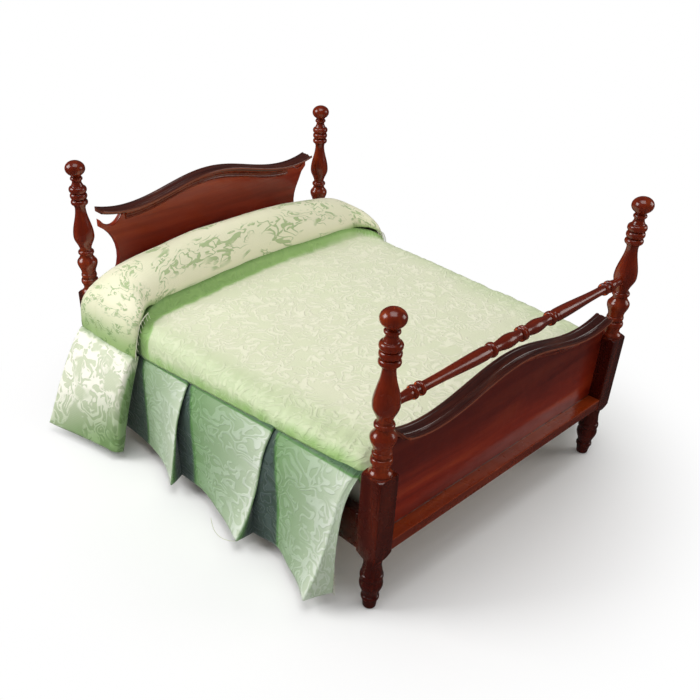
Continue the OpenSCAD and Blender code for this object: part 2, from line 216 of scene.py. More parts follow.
def mahoganyMaterial(name, grainAxis, dark, middle, bright, gloss, paintedShade=(-1, -2, (1, 1, 1))):
    material, nodes, links = emptyMaterial(name)
    place = nodes.new("ShaderNodeTexCoord")
    place.label = "Place on the piece"
    stretch = nodes.new("ShaderNodeMapping")
    stretch.label = "Grain runs along the piece"
    fibre = nodes.new("ShaderNodeTexNoise")
    fibre.label = "Fine grain"
    figure = nodes.new("ShaderNodeTexNoise")
    figure.label = "Broad figure"
    pores = nodes.new("ShaderNodeTexNoise")
    pores.label = "Open pores"
    grainSum = nodes.new("ShaderNodeMath")
    grainSum.label = "Grain and figure together"
    height = nodes.new("ShaderNodeSeparateXYZ")
    height.label = "Height on the piece"
    sprayed = nodes.new("ShaderNodeMapRange")
    sprayed.label = "Painted shade by height"
    shaded = nodes.new("ShaderNodeMix")
    shaded.label = "Painted shade over the stain"
    stain = nodes.new("ShaderNodeValToRGB")
    stain.label = "Red mahogany stain"
    edge = nodes.new("ShaderNodeNewGeometry")
    edge.label = "Edges and hollows"
    rubbedAndHighlit = nodes.new("ShaderNodeValToRGB")
    rubbedAndHighlit.label = "Worn edges and painted highlight"
    pooledAndShaded = nodes.new("ShaderNodeValToRGB")
    pooledAndShaded.label = "Pooled stain and painted shade in hollows"
    wornAndHighlit = nodes.new("ShaderNodeMix")
    wornAndHighlit.label = "Lighter edges, worn and painted highlight"
    darker = nodes.new("ShaderNodeMix")
    darker.label = "Darker hollows, pooled stain and painted shade"
    wave = nodes.new("ShaderNodeTexNoise")
    wave.label = "Brushed lacquer"
    handled = nodes.new("ShaderNodeMapRange")
    handled.label = "Handled patches"
    poreBump = nodes.new("ShaderNodeBump")
    poreBump.label = "Pores under the lacquer"
    lacquerBump = nodes.new("ShaderNodeBump")
    lacquerBump.label = "Lacquer ripple"
    shader = nodes.new("ShaderNodeBsdfPrincipled")
    shader.label = "Lacquered mahogany"
    output = nodes.new("ShaderNodeOutputMaterial")
    output.label = "Wood surface"
    layOutNodes([[place], [stretch], [fibre, figure, pores, wave, height],
                 [grainSum, sprayed, handled], [stain, edge], [rubbedAndHighlit, pooledAndShaded], [wornAndHighlit],
                 [darker, poreBump], [shaded], [lacquerBump], [shader], [output]])
    grainFrame = nodes.new("NodeFrame")
    grainFrame.label = "Grain"
    for node in (stretch, fibre, figure, pores, grainSum, stain):
        node.parent = grainFrame
    paintedShadeFrame = nodes.new("NodeFrame")
    paintedShadeFrame.label = "Shading"
    for node in (height, sprayed, shaded):
        node.parent = paintedShadeFrame
    wearAndLightFrame = nodes.new("NodeFrame")
    wearAndLightFrame.label = "Wear, painted highlight and painted shade"
    for node in (edge, rubbedAndHighlit, pooledAndShaded, wornAndHighlit, darker):
        node.parent = wearAndLightFrame
    lacquerFrame = nodes.new("NodeFrame")
    lacquerFrame.label = "Lacquer"
    for node in (wave, handled, poreBump, lacquerBump):
        node.parent = lacquerFrame

    stretch.inputs["Scale"].default_value = [0.09 if axis == grainAxis else 1.0 for axis in range(3)]
    fibre.inputs["Scale"].default_value = 1500
    fibre.inputs["Detail"].default_value = 5
    fibre.inputs["Roughness"].default_value = 0.6
    figure.inputs["Scale"].default_value = 170
    figure.inputs["Detail"].default_value = 3
    figure.inputs["Distortion"].default_value = 0.8
    pores.inputs["Scale"].default_value = 3200
    pores.inputs["Detail"].default_value = 2
    grainSum.operation = "MULTIPLY_ADD"
    grainSum.inputs[1].default_value = 0.3
    # painted shade: between the two heights the colour is darkened towards the tint
    plain, full, tint = paintedShade
    sprayed.interpolation_type = "SMOOTHSTEP"
    sprayed.inputs["From Min"].default_value = plain
    sprayed.inputs["From Max"].default_value = full
    shaded.data_type = "RGBA"
    shaded.blend_type = "MULTIPLY"
    shaded.inputs[7].default_value = (*tint, 1)
    stain.color_ramp.elements[0].position = 0.32
    stain.color_ramp.elements[0].color = (*dark, 1)
    stain.color_ramp.elements[1].position = 1.0
    stain.color_ramp.elements[1].color = (*bright, 1)
    half = stain.color_ramp.elements.new(0.65)
    half.color = (*middle, 1)
    # lighter edges are wear and painted highlight; darker hollows are pooled stain and painted shade
    rubbedAndHighlit.color_ramp.elements[0].position = 0.55
    rubbedAndHighlit.color_ramp.elements[1].position = 0.68
    pooledAndShaded.color_ramp.elements[0].position = 0.38
    pooledAndShaded.color_ramp.elements[0].color = (1, 1, 1, 1)
    pooledAndShaded.color_ramp.elements[1].position = 0.49
    pooledAndShaded.color_ramp.elements[1].color = (0, 0, 0, 1)
    wornAndHighlit.data_type = "RGBA"
    wornAndHighlit.inputs[7].default_value = [min(1, 1.7 * c) for c in bright] + [1]
    darker.data_type = "RGBA"
    darker.inputs[7].default_value = [0.35 * c for c in dark] + [1]
    wave.inputs["Scale"].default_value = 210
    wave.inputs["Detail"].default_value = 2
    handled.inputs["From Min"].default_value = 0.35
    handled.inputs["From Max"].default_value = 0.7
    handled.inputs["To Min"].default_value = gloss
    handled.inputs["To Max"].default_value = gloss + 0.13
    poreBump.inputs["Strength"].default_value = 0.12
    poreBump.inputs["Distance"].default_value = 0.0001
    lacquerBump.inputs["Strength"].default_value = 0.16
    lacquerBump.inputs["Distance"].default_value = 0.0004
    shader.inputs["Coat Weight"].default_value = 0.65
    shader.inputs["Coat Roughness"].default_value = 0.13
    shader.inputs["Coat IOR"].default_value = 1.5
    shader.inputs["Specular IOR Level"].default_value = 0.25

    links.new(place.outputs["Object"], stretch.inputs["Vector"])
    links.new(stretch.outputs["Vector"], fibre.inputs["Vector"])
    links.new(stretch.outputs["Vector"], figure.inputs["Vector"])
    links.new(stretch.outputs["Vector"], pores.inputs["Vector"])
    links.new(place.outputs["Object"], wave.inputs["Vector"])
    links.new(fibre.outputs["Fac"], grainSum.inputs[0])
    links.new(figure.outputs["Fac"], grainSum.inputs[2])
    links.new(place.outputs["Object"], height.inputs["Vector"])
    links.new(height.outputs["Z"], sprayed.inputs["Value"])
    links.new(grainSum.outputs["Value"], stain.inputs["Fac"])
    links.new(edge.outputs["Pointiness"], rubbedAndHighlit.inputs["Fac"])
    links.new(edge.outputs["Pointiness"], pooledAndShaded.inputs["Fac"])
    links.new(rubbedAndHighlit.outputs["Color"], wornAndHighlit.inputs["Factor"])
    links.new(stain.outputs["Color"], wornAndHighlit.inputs[6])
    links.new(pooledAndShaded.outputs["Color"], darker.inputs["Factor"])
    links.new(wornAndHighlit.outputs[2], darker.inputs[6])
    links.new(wave.outputs["Fac"], handled.inputs["Value"])
    links.new(pores.outputs["Fac"], poreBump.inputs["Height"])
    links.new(wave.outputs["Fac"], lacquerBump.inputs["Height"])
    links.new(poreBump.outputs["Normal"], lacquerBump.inputs["Normal"])
    links.new(sprayed.outputs["Result"], shaded.inputs["Factor"])
    links.new(darker.outputs[2], shaded.inputs[6])
    links.new(shaded.outputs[2], shader.inputs["Base Color"])
    links.new(handled.outputs["Result"], shader.inputs["Roughness"])
    links.new(lacquerBump.outputs["Normal"], shader.inputs["Normal"])
    links.new(lacquerBump.outputs["Normal"], shader.inputs["Coat Normal"])
    links.new(shader.outputs["BSDF"], output.inputs["Surface"])
    return material


def bareWoodMaterial(name, grainAxis):
    material, nodes, links = emptyMaterial(name)
    place = nodes.new("ShaderNodeTexCoord")
    place.label = "Place on the strip"
    stretch = nodes.new("ShaderNodeMapping")
    stretch.label = "Grain runs along the strip"
    rings = nodes.new("ShaderNodeTexWave")
    rings.label = "Growth rings"
    fibre = nodes.new("ShaderNodeTexNoise")
    fibre.label = "Sawn fibres"
    tone = nodes.new("ShaderNodeValToRGB")
    tone.label = "Pine tones"
    fuzz = nodes.new("ShaderNodeValToRGB")
    fuzz.label = "Fibre shade"
    both = nodes.new("ShaderNodeMix")
    both.label = "Fibres over the rings"
    bump = nodes.new("ShaderNodeBump")
    bump.label = "Sawn surface"
    shader = nodes.new("ShaderNodeBsdfPrincipled")
    shader.label = "Bare pine"
    output = nodes.new("ShaderNodeOutputMaterial")
    output.label = "Pine surface"
    layOutNodes([[place], [stretch], [rings, fibre], [tone, fuzz], [both, bump], [shader], [output]])
    grainFrame = nodes.new("NodeFrame")
    grainFrame.label = "Grain"
    for node in (stretch, rings, fibre, tone, fuzz, both):
        node.parent = grainFrame

    stretch.inputs["Scale"].default_value = [0.06 if axis == grainAxis else 1.0 for axis in range(3)]
    rings.bands_direction = "DIAGONAL"
    rings.inputs["Scale"].default_value = 240
    rings.inputs["Distortion"].default_value = 5
    rings.inputs["Detail"].default_value = 2
    fibre.inputs["Scale"].default_value = 2400
    fibre.inputs["Detail"].default_value = 4
    tone.color_ramp.elements[0].color = (0.42, 0.23, 0.10, 1)
    tone.color_ramp.elements[1].color = (0.62, 0.41, 0.21, 1)
    fuzz.color_ramp.elements[0].color = (0.30, 0.17, 0.08, 1)
    fuzz.color_ramp.elements[1].color = (0.70, 0.50, 0.29, 1)
    both.data_type = "RGBA"
    both.inputs["Factor"].default_value = 0.35
    bump.inputs["Strength"].default_value = 0.3
    bump.inputs["Distance"].default_value = 0.0001
    shader.inputs["Roughness"].default_value = 0.72

    links.new(place.outputs["Object"], stretch.inputs["Vector"])
    links.new(stretch.outputs["Vector"], rings.inputs["Vector"])
    links.new(stretch.outputs["Vector"], fibre.inputs["Vector"])
    links.new(rings.outputs["Fac"], tone.inputs["Fac"])
    links.new(fibre.outputs["Fac"], fuzz.inputs["Fac"])
    links.new(tone.outputs["Color"], both.inputs[6])
    links.new(fuzz.outputs["Color"], both.inputs[7])
    links.new(fibre.outputs["Fac"], bump.inputs["Height"])
    links.new(both.outputs[2], shader.inputs["Base Color"])
    links.new(bump.outputs["Normal"], shader.inputs["Normal"])
    links.new(shader.outputs["BSDF"], output.inputs["Surface"])
    return material


# the green tone and the fold tone are painted shade, in shallow folds and in deep ones. figureShare is how
# strongly the figure shows, leafShare and stems say how much of it is leaves and scroll lines, and bare
# how much plain ground is left. motif is the length of one scroll and thread the width of one thread, in
# metres.
cloths = {
    "green": {     # the coverlet
        "ground": (0.82, 0.82, 0.62), "figureTone": (0.96, 0.93, 0.76), "shallowShadeTone": (0.40, 0.64, 0.27),
        "deepShadeTone": (0.10, 0.22, 0.05), "figureShare": 0.42, "leafShare": 0.2, "stems": 1,
        "bare": 0.36, "motif": 0.0085, "thread": 0.0003,
    },
    "skirt": {
        "ground": (0.70, 0.75, 0.62), "figureTone": (0.95, 0.96, 0.92), "shallowShadeTone": (0.14, 0.34, 0.09),
        "deepShadeTone": (0.060, 0.090, 0.100), "figureShare": 0.6, "leafShare": 0.2, "stems": 1,
        "bare": 0.34, "motif": 0.0085, "thread": 0.0003,
    },
    "leaf": {      # the bolster's cover
        "ground": (0.93, 0.88, 0.67), "figureTone": (0.36, 0.50, 0.21), "shallowShadeTone": (0.38, 0.58, 0.27),
        "deepShadeTone": (0.10, 0.22, 0.05), "figureShare": 0.8, "leafShare": 0.75, "stems": 0.45,
        "bare": 0.45, "motif": 0.0064, "thread": 0.00055,
    },
    "satin": {     # its hanging ends
        "ground": (0.68, 0.71, 0.54), "figureTone": (1.0, 0.97, 0.86), "shallowShadeTone": (0.26, 0.42, 0.19),
        "deepShadeTone": (0.06, 0.10, 0.06), "figureShare": 0.9, "leafShare": 1.2, "stems": 0.9,
        "bare": 0.38, "motif": 0.0095, "thread": 0.00065,
    },
}


def damaskMaterial(name, ground, figureTone, shallowShadeTone, deepShadeTone, figureShare, leafShare, stems, bare,
                   motif, thread):
    material, nodes, links = emptyMaterial(name)
    cut = nodes.new("ShaderNodeUVMap")
    cut.label = "Cloth as it was cut"
    bend = nodes.new("ShaderNodeTexNoise")
    bend.label = "Bends of the scrolls"
    bendCentre = nodes.new("ShaderNodeVectorMath")
    bendCentre.label = "Bend both ways"
    bendSize = nodes.new("ShaderNodeVectorMath")
    bendSize.label = "How far scrolls curl"
    curled = nodes.new("ShaderNodeVectorMath")
    curled.label = "Curled cloth"
    vines = nodes.new("ShaderNodeTexNoise")
    vines.label = "Scroll field"
    vineLine = nodes.new("ShaderNodeMath")
    vineLine.label = "Distance from a scroll line"
    vineMask = nodes.new("ShaderNodeMapRange")
    vineMask.label = "Scroll lines"
    leaves = nodes.new("ShaderNodeTexNoise")
    leaves.label = "Leaf field"
    leafMask = nodes.new("ShaderNodeMapRange")
    leafMask.label = "Leaves"
    figure = nodes.new("ShaderNodeMath")
    figure.label = "Stems and leaves"
    spray = nodes.new("ShaderNodeTexNoise")
    spray.label = "Where the sprays lie"
    sprayMask = nodes.new("ShaderNodeMapRange")
    sprayMask.label = "Sprays"
    sprayed = nodes.new("ShaderNodeMath")
    sprayed.label = "Stems and leaves in sprays"
    amount = nodes.new("ShaderNodeMath")
    amount.label = "Strength of the figure"
    blotch = nodes.new("ShaderNodeTexNoise")
    blotch.label = "Uneven dye"
    groundMix = nodes.new("ShaderNodeMix")
    groundMix.label = "Ground with uneven dye"
    pattern = nodes.new("ShaderNodeMix")
    pattern.label = "Figure on the ground"
    fold = nodes.new("ShaderNodeAttribute")
    fold.label = "Painted shade in folds"
    shade = nodes.new("ShaderNodeValToRGB")
    shade.label = "Painted shade, greener then dark"
    folded = nodes.new("ShaderNodeMix")
    folded.label = "Painted shade over the figure"
    warp = nodes.new("ShaderNodeTexWave")
    warp.label = "Warp threads"
    weft = nodes.new("ShaderNodeTexWave")
    weft.label = "Weft threads"
    weave = nodes.new("ShaderNodeMath")
    weave.label = "Weave"
    weaveBump = nodes.new("ShaderNodeBump")
    weaveBump.label = "Thread relief"
    figureBump = nodes.new("ShaderNodeBump")
    figureBump.label = "Raised figure"
    satin = nodes.new("ShaderNodeMapRange")
    satin.label = "Satin ground, dull figure"
    shader = nodes.new("ShaderNodeBsdfPrincipled")
    shader.label = "Damask"
    output = nodes.new("ShaderNodeOutputMaterial")
    output.label = "Cloth surface"
    layOutNodes([[cut], [bend, warp, weft], [bendCentre, weave], [bendSize], [curled],
                 [vines, leaves, spray, blotch], [vineLine], [vineMask, leafMask, sprayMask], [figure],
                 [sprayed], [amount, groundMix], [pattern, fold], [shade], [folded, weaveBump],
                 [satin, figureBump], [shader], [output]])
    figureFrame = nodes.new("NodeFrame")
    figureFrame.label = "Scrolls and leaves"
    for node in (bend, bendCentre, bendSize, curled, vines, vineLine, vineMask, leaves, leafMask,
                 figure, spray, sprayMask, sprayed, amount):
        node.parent = figureFrame
    weaveFrame = nodes.new("NodeFrame")
    weaveFrame.label = "Weave"
    for node in (warp, weft, weave, weaveBump, figureBump):
        node.parent = weaveFrame
    colourFrame = nodes.new("NodeFrame")
    colourFrame.label = "Colour and painted shade"
    for node in (blotch, groundMix, pattern, fold, shade, folded):
        node.parent = colourFrame

    cut.uv_map = "UVMap"
    bend.inputs["Scale"].default_value = 0.9 / motif
    bend.inputs["Detail"].default_value = 1.5
    bendCentre.operation = "SUBTRACT"
    bendCentre.inputs[1].default_value = (0.5, 0.5, 0.5)
    bendSize.operation = "SCALE"
    bendSize.inputs["Scale"].default_value = 1.3 * motif
    curled.operation = "ADD"
    vines.inputs["Scale"].default_value = 1.15 / motif
    vines.inputs["Detail"].default_value = 1.2
    vineLine.operation = "PINGPONG"
    vineLine.inputs[1].default_value = 0.07
    vineMask.interpolation_type = "SMOOTHSTEP"
    vineMask.inputs["From Min"].default_value = 0.034 * stems
    vineMask.inputs["From Max"].default_value = 0.018 * stems
    leaves.inputs["Scale"].default_value = 2.3 / motif
    leaves.inputs["Detail"].default_value = 1.5
    leaves.inputs["Distortion"].default_value = 0.7
    leafMask.interpolation_type = "SMOOTHSTEP"
    leafMask.inputs["From Min"].default_value = 0.62 - 0.08 * leafShare
    leafMask.inputs["From Max"].default_value = 0.65 - 0.08 * leafShare
    figure.operation = "MAXIMUM"
    spray.inputs["Scale"].default_value = 0.8 / motif
    sprayMask.interpolation_type = "SMOOTHSTEP"
    sprayMask.inputs["From Min"].default_value = bare
    sprayMask.inputs["From Max"].default_value = bare + 0.1
    sprayed.operation = "MULTIPLY"
    amount.operation = "MULTIPLY"
    amount.inputs[1].default_value = figureShare
    blotch.inputs["Scale"].default_value = 0.35 / motif
    blotch.inputs["Detail"].default_value = 3
    groundMix.data_type = "RGBA"
    groundMix.inputs[6].default_value = (*ground, 1)
    groundMix.inputs[7].default_value = (0.90 * ground[0], 0.97 * ground[1], 0.86 * ground[2], 1)
    pattern.data_type = "RGBA"
    pattern.inputs[7].default_value = (*figureTone, 1)
    # painted shade: each point's shade in a fold tints the cloth greener, then dark
    fold.attribute_name = "paintedFoldShade"
    shade.color_ramp.elements[0].color = (1, 1, 1, 1)
    shade.color_ramp.elements[1].color = (*deepShadeTone, 1)
    green = shade.color_ramp.elements.new(0.34)
    green.color = (*shallowShadeTone, 1)
    folded.data_type = "RGBA"
    folded.blend_type = "MULTIPLY"
    folded.inputs["Factor"].default_value = 1
    warp.bands_direction = "X"
    weft.bands_direction = "Y"
    for wave in (warp, weft):
        wave.inputs["Scale"].default_value = 0.314 / thread
        wave.inputs["Distortion"].default_value = 0.6
    weave.operation = "MULTIPLY"
    weaveBump.inputs["Strength"].default_value = 0.35
    weaveBump.inputs["Distance"].default_value = 0.35 * thread
    figureBump.inputs["Strength"].default_value = 0.55
    figureBump.inputs["Distance"].default_value = 0.00035
    satin.inputs["To Min"].default_value = 0.42
    satin.inputs["To Max"].default_value = 0.62
    shader.inputs["Specular IOR Level"].default_value = 0.45
    shader.inputs["Sheen Weight"].default_value = 0.25
    shader.inputs["Sheen Roughness"].default_value = 0.4

    links.new(cut.outputs["UV"], bend.inputs["Vector"])
    links.new(bend.outputs["Color"], bendCentre.inputs[0])
    links.new(bendCentre.outputs["Vector"], bendSize.inputs[0])
    links.new(cut.outputs["UV"], curled.inputs[0])
    links.new(bendSize.outputs["Vector"], curled.inputs[1])
    links.new(curled.outputs["Vector"], vines.inputs["Vector"])
    links.new(curled.outputs["Vector"], leaves.inputs["Vector"])
    links.new(vines.outputs["Fac"], vineLine.inputs[0])
    links.new(vineLine.outputs["Value"], vineMask.inputs["Value"])
    links.new(leaves.outputs["Fac"], leafMask.inputs["Value"])
    links.new(vineMask.outputs["Result"], figure.inputs[0])
    links.new(leafMask.outputs["Result"], figure.inputs[1])
    links.new(cut.outputs["UV"], spray.inputs["Vector"])
    links.new(spray.outputs["Fac"], sprayMask.inputs["Value"])
    links.new(figure.outputs["Value"], sprayed.inputs[0])
    links.new(sprayMask.outputs["Result"], sprayed.inputs[1])
    links.new(sprayed.outputs["Value"], amount.inputs[0])
    links.new(cut.outputs["UV"], blotch.inputs["Vector"])
    links.new(blotch.outputs["Fac"], groundMix.inputs["Factor"])
    links.new(groundMix.outputs[2], pattern.inputs[6])
    links.new(amount.outputs["Value"], pattern.inputs["Factor"])
    links.new(pattern.outputs[2], folded.inputs[6])
    links.new(fold.outputs["Fac"], shade.inputs["Fac"])
    links.new(shade.outputs["Color"], folded.inputs[7])
    links.new(cut.outputs["UV"], warp.inputs["Vector"])
    links.new(cut.outputs["UV"], weft.inputs["Vector"])
    links.new(warp.outputs["Fac"], weave.inputs[0])
    links.new(weft.outputs["Fac"], weave.inputs[1])
    links.new(weave.outputs["Value"], weaveBump.inputs["Height"])
    links.new(sprayed.outputs["Value"], figureBump.inputs["Height"])
    links.new(weaveBump.outputs["Normal"], figureBump.inputs["Normal"])
    links.new(sprayed.outputs["Value"], satin.inputs["Value"])
    links.new(folded.outputs[2], shader.inputs["Base Color"])
    links.new(satin.outputs["Result"], shader.inputs["Roughness"])
    links.new(figureBump.outputs["Normal"], shader.inputs["Normal"])
    links.new(shader.outputs["BSDF"], output.inputs["Surface"])
    return material


def calicoMaterial(name):
    material, nodes, links = emptyMaterial(name)
    place = nodes.new("ShaderNodeTexCoord")
    place.label = "Place on the case"
    slub = nodes.new("ShaderNodeTexNoise")
    slub.label = "Slubs in the cotton"
    tone = nodes.new("ShaderNodeValToRGB")
    tone.label = "Unbleached cotton"
    weave = nodes.new("ShaderNodeTexVoronoi")
    weave.label = "Plain weave"
    bump = nodes.new("ShaderNodeBump")
    bump.label = "Weave relief"
    shader = nodes.new("ShaderNodeBsdfPrincipled")
    shader.label = "Calico"
    output = nodes.new("ShaderNodeOutputMaterial")
    output.label = "Case surface"
    layOutNodes([[place], [slub, weave], [tone, bump], [shader], [output]])
    cottonFrame = nodes.new("NodeFrame")
    cottonFrame.label = "Cotton"
    for node in (slub, tone, weave, bump):
        node.parent = cottonFrame

    slub.inputs["Scale"].default_value = 300
    slub.inputs["Detail"].default_value = 5
    tone.color_ramp.elements[0].color = (0.62, 0.57, 0.44, 1)
    tone.color_ramp.elements[1].color = (0.84, 0.81, 0.70, 1)
    weave.inputs["Scale"].default_value = 2600
    weave.inputs["Randomness"].default_value = 0.15
    bump.inputs["Strength"].default_value = 0.35
    bump.inputs["Distance"].default_value = 0.0001
    shader.inputs["Roughness"].default_value = 0.85
    shader.inputs["Sheen Weight"].default_value = 0.3

    links.new(place.outputs["Object"], slub.inputs["Vector"])
    links.new(place.outputs["Object"], weave.inputs["Vector"])
    links.new(slub.outputs["Fac"], tone.inputs["Fac"])
    links.new(weave.outputs["Distance"], bump.inputs["Height"])
    links.new(tone.outputs["Color"], shader.inputs["Base Color"])
    links.new(bump.outputs["Normal"], shader.inputs["Normal"])
    links.new(shader.outputs["BSDF"], output.inputs["Surface"])
    return material


post = {
    "sides": 56,            # flats round a turning
    "blockHalf": 4.2,
    "blockLow": 22.5,
    "blockTop": 57.2,
    "cornerReach": 6.2,     # how far the shoulders' turning reaches
    "neck": 3.3,
    "arris": 0.35,          # rounding of the block's long edges
    "finialHeight": 110.2,
    "finial": (4.0, 3.1),
}


def bead(height, core, crown, half, steps=9):
    # a half round turned between two grooves
    angles = [math.pi * (i / steps - 0.5) for i in range(steps + 1)]
    return [(core + (crown - core) * math.cos(a), height + half * math.sin(a)) for a in angles]


def flow(low, lowRadius, high, highRadius, steps=8):
    # an S-shaped run from one radius to another
    rings = []
    for i in range(steps + 1):
        share = (1 - math.cos(math.pi * i / steps)) / 2
        rings.append((mix(lowRadius, highRadius, share), mix(low, high, i / steps)))
    return rings


def turnUp(rings, sides):
    # a disc extruded up through the rings, each of them (radius, height) in millimetres
    radius, height = rings[0]
    deselectAll()
    bpy.ops.mesh.primitive_circle_add(vertices=sides, radius=radius * mm, fill_type="NGON",
                                      location=(0, 0, height * mm))
    bpy.ops.object.mode_set(mode="EDIT")
    bpy.ops.mesh.select_all(action="SELECT")
    for (radius, height), (nextRadius, nextHeight) in zip(rings, rings[1:]):
        grow = nextRadius / radius
        bpy.ops.mesh.extrude_region_move(
            TRANSFORM_OT_translate={"value": (0, 0, (nextHeight - height) * mm)})
        bpy.ops.transform.resize(value=(grow, grow, 1), center_override=(0, 0, nextHeight * mm))
    bpy.ops.mesh.select_all(action="SELECT")
    bpy.ops.mesh.normals_make_consistent(inside=False)
    bpy.ops.object.mode_set(mode="OBJECT")
    settle(bpy.context.object)
    return bpy.context.object


def footRings():
    return [(2.0, 0), (2.25, 0.15)] + flow(0.5, 2.35, 3.6, 2.7) + bead(4.6, 2.7, 3.2, 0.9) \
        + flow(5.7, 2.8, 10.9, 4.1) + flow(11.1, 4.1, 12.9, 3.7) + bead(14.4, 3.7, 4.05, 1.1) \
        + flow(15.7, 3.6, 19.6, 3.15) + [(post["neck"], 22.4), (post["neck"], 24)]


def shaftRings():
    return [(4.0, 55), (4.0, 57.2)] + flow(57.45, 3.9, 59.3, 2.8) + flow(59.5, 2.8, 60.8, 3.0, 3) \
        + bead(62.3, 3.0, 3.6, 1.2) + bead(65, 2.9, 3.25, 0.8) + flow(66.4, 3.0, 70.7, 4.2) \
        + flow(70.9, 4.2, 73.9, 2.7) + bead(75.2, 2.6, 3.3, 0.9) + flow(76.4, 2.4, 82.25, 4.25, 12) \
        + flow(82.5, 4.25, 94.3, 2.15, 16) + bead(96.6, 2.5, 3.45, 1.15) \
        + bead(99.2, 2.6, 3.48, 1.2) + bead(101.8, 2.6, 3.6, 1.3) + flow(103.3, 2.4, 104.8, 1.9, 4) \
        + bead(106.2, 1.9, 2.5, 0.7) + finialRings()


def finialRings(steps=18):
    radius, half = post["finial"]
    angles = [math.radians(-56 + 145.5 * i / steps) for i in range(steps + 1)]
    return [(radius * math.cos(a), post["finialHeight"] + half * math.sin(a)) for a in angles]


def shoulderRings():
    reach, neck, low, top = post["cornerReach"], post["neck"], post["blockLow"], post["blockTop"]
    arc = [math.radians(90 * i / 8) for i in range(9)]
    return [(neck, low), (reach, low + reach - neck)] \
        + [(reach - 2 * (1 - math.cos(a)), top - 2 * (1 - math.sin(a))) for a in arc]


def squareBlock():
    low, top = post["blockLow"] - 1, post["blockTop"] + 1
    deselectAll()
    bpy.ops.mesh.primitive_cube_add(size=1, location=(0, 0, (low + top) / 2 * mm),
                                    scale=(2 * post["blockHalf"] * mm, 2 * post["blockHalf"] * mm,
                                           (top - low) * mm))
    block = bpy.context.object
    settle(block)
    bpy.ops.object.mode_set(mode="EDIT")
    bpy.ops.mesh.select_all(action="DESELECT")
    bpy.ops.object.mode_set(mode="OBJECT")
    for edge in block.data.edges:
        ends = [block.data.vertices[i].co for i in edge.vertices]
        edge.select = abs(ends[0].z - ends[1].z) > 10 * mm
    bpy.ops.object.mode_set(mode="EDIT")
    bpy.ops.mesh.bevel(offset=post["arris"] * mm, segments=3)
    bpy.ops.object.mode_set(mode="OBJECT")
    return block


def joinSolids(first, second, operation):
    addModifier(first, "BOOLEAN", object=second, operation=operation, solver="EXACT")
    applyModifiers(first)
    bpy.data.objects.remove(second)


def makePosts(material):
    turned = squareBlock()
    joinSolids(turned, turnUp(shoulderRings(), 96), "INTERSECT")
    joinSolids(turned, turnUp(footRings(), post["sides"]), "UNION")
    joinSolids(turned, turnUp(shaftRings(), post["sides"]), "UNION")
    insetFlats(turned)
    smoothByAngle(turned, 38)
    for node in ("foot_post_left", "foot_post_right", "head_post_left", "head_post_right"):
        low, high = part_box(node)
        copy = turned.copy()
        copy.data = turned.data.copy()
        bpy.context.scene.collection.objects.link(copy)
        copy.location = ((low.x + high.x) / 2, (low.y + high.y) / 2, 0)
        finishPiece(copy, node + "_turned", material, "bedstead", [node])
    bpy.data.objects.remove(turned)


def railRings():
    half = bead(0.7, 1.9, 2.75, 0.7, 7) + flow(1.9, 1.9, 7.5, 2.5) + flow(7.9, 2.5, 14.6, 1.8) \
        + bead(16.8, 1.9, 2.7, 1.2) + flow(18.4, 2.2, 20.8, 2.45, 5) + flow(21.2, 2.45, 48.4, 1.7, 18) \
        + bead(52, 1.7, 2.45, 0.9) + bead(55.3, 1.7, 2.45, 0.9) + flow(56.8, 1.9, 60.5, 1.6, 5)
    half.append((1.6, 64.7))
    return [(radius, -along) for radius, along in reversed(half)] + half


def makeBlanketRail(material):
    low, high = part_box("blanket_rail")
    rail = turnUp(railRings(), 36)
    rail.rotation_euler = (0, math.radians(90), 0)
    rail.location = (0, (low.y + high.y) / 2, (low.z + high.z) / 2)
    settle(rail)
    smoothByAngle(rail, 38)
    finishPiece(rail, "blanket_rail_turned", material, "bedstead", ["blanket_rail"])


boards = {
    "board": ("mahogany", 0.25),    # slot, and rounding of the edges, of a lacquered board
    "strip": ("pine", 0.15),        # and of a bare strip
    "wornAndHighlitEdge": 0.45,       # width of the strip where the stain can wear through and the painted highlight lies
    "largeFlat": 15,        # square millimetres from which a flat has such a strip
}


def insetFlats(board):
    # a loop just inside each large flat keeps the worn colour and painted highlight at its edges
    pickOnly(board)
    bpy.ops.object.mode_set(mode="EDIT")
    bpy.ops.mesh.select_mode(type="FACE")
    bpy.ops.mesh.select_all(action="DESELECT")
    bpy.ops.object.mode_set(mode="OBJECT")
    for face in board.data.polygons:
        face.select = face.area > boards["largeFlat"] * mm ** 2
    bpy.ops.object.mode_set(mode="EDIT")
    bpy.ops.mesh.inset(thickness=boards["wornAndHighlitEdge"] * mm, use_individual=True)
    bpy.ops.mesh.select_mode(type="VERT")
    bpy.ops.object.mode_set(mode="OBJECT")


def easedCopy(node, kind, material):
    # the CAD board or strip with its edges eased
    slotName, edge = boards[kind]
    board = copyOfNode(node, flatten=True)
    addModifier(board, "BEVEL", width=edge * mm, segments=3, limit_method="ANGLE",
                angle_limit=math.radians(50))
    applyModifiers(board)
    insetFlats(board)
    smoothByAngle(board, 30)
    return finishPiece(board, f"{node}_{kind}", material, "bedstead", [node])


crest = {
    "half": 58.5,
    "dipAt": 45,
    "rise": 6.9,
    "endRadius": 44,
    "thick": 2.2,
    "slices": 90,
    "reeds": [(1.5, 0.30), (2.3, 0.16), (1.0, 0.28)],   # width and crown, back to front
    "cove": (1.9, 0.55),    # width and depth of the hollow before the nosing
    "slope": 0.03,          # fall of the top towards the front, for each millimetre
    "underHalf": 46,        # the moulding below stops at the slots
    # the headboard's right horn is raised: from this x and height, in full at these, by this much
    "hornFrom": (46.5, 78),
    "hornFull": (50.5, 82.5),
    "hornLift": 2.7,
}


def crestLine(x):
    x = abs(x)
    if x < crest["dipAt"]:
        return crest["rise"] / 2 * (1 + math.cos(math.pi * x / crest["dipAt"]))
    return (x - crest["dipAt"]) ** 2 / (2 * crest["endRadius"])


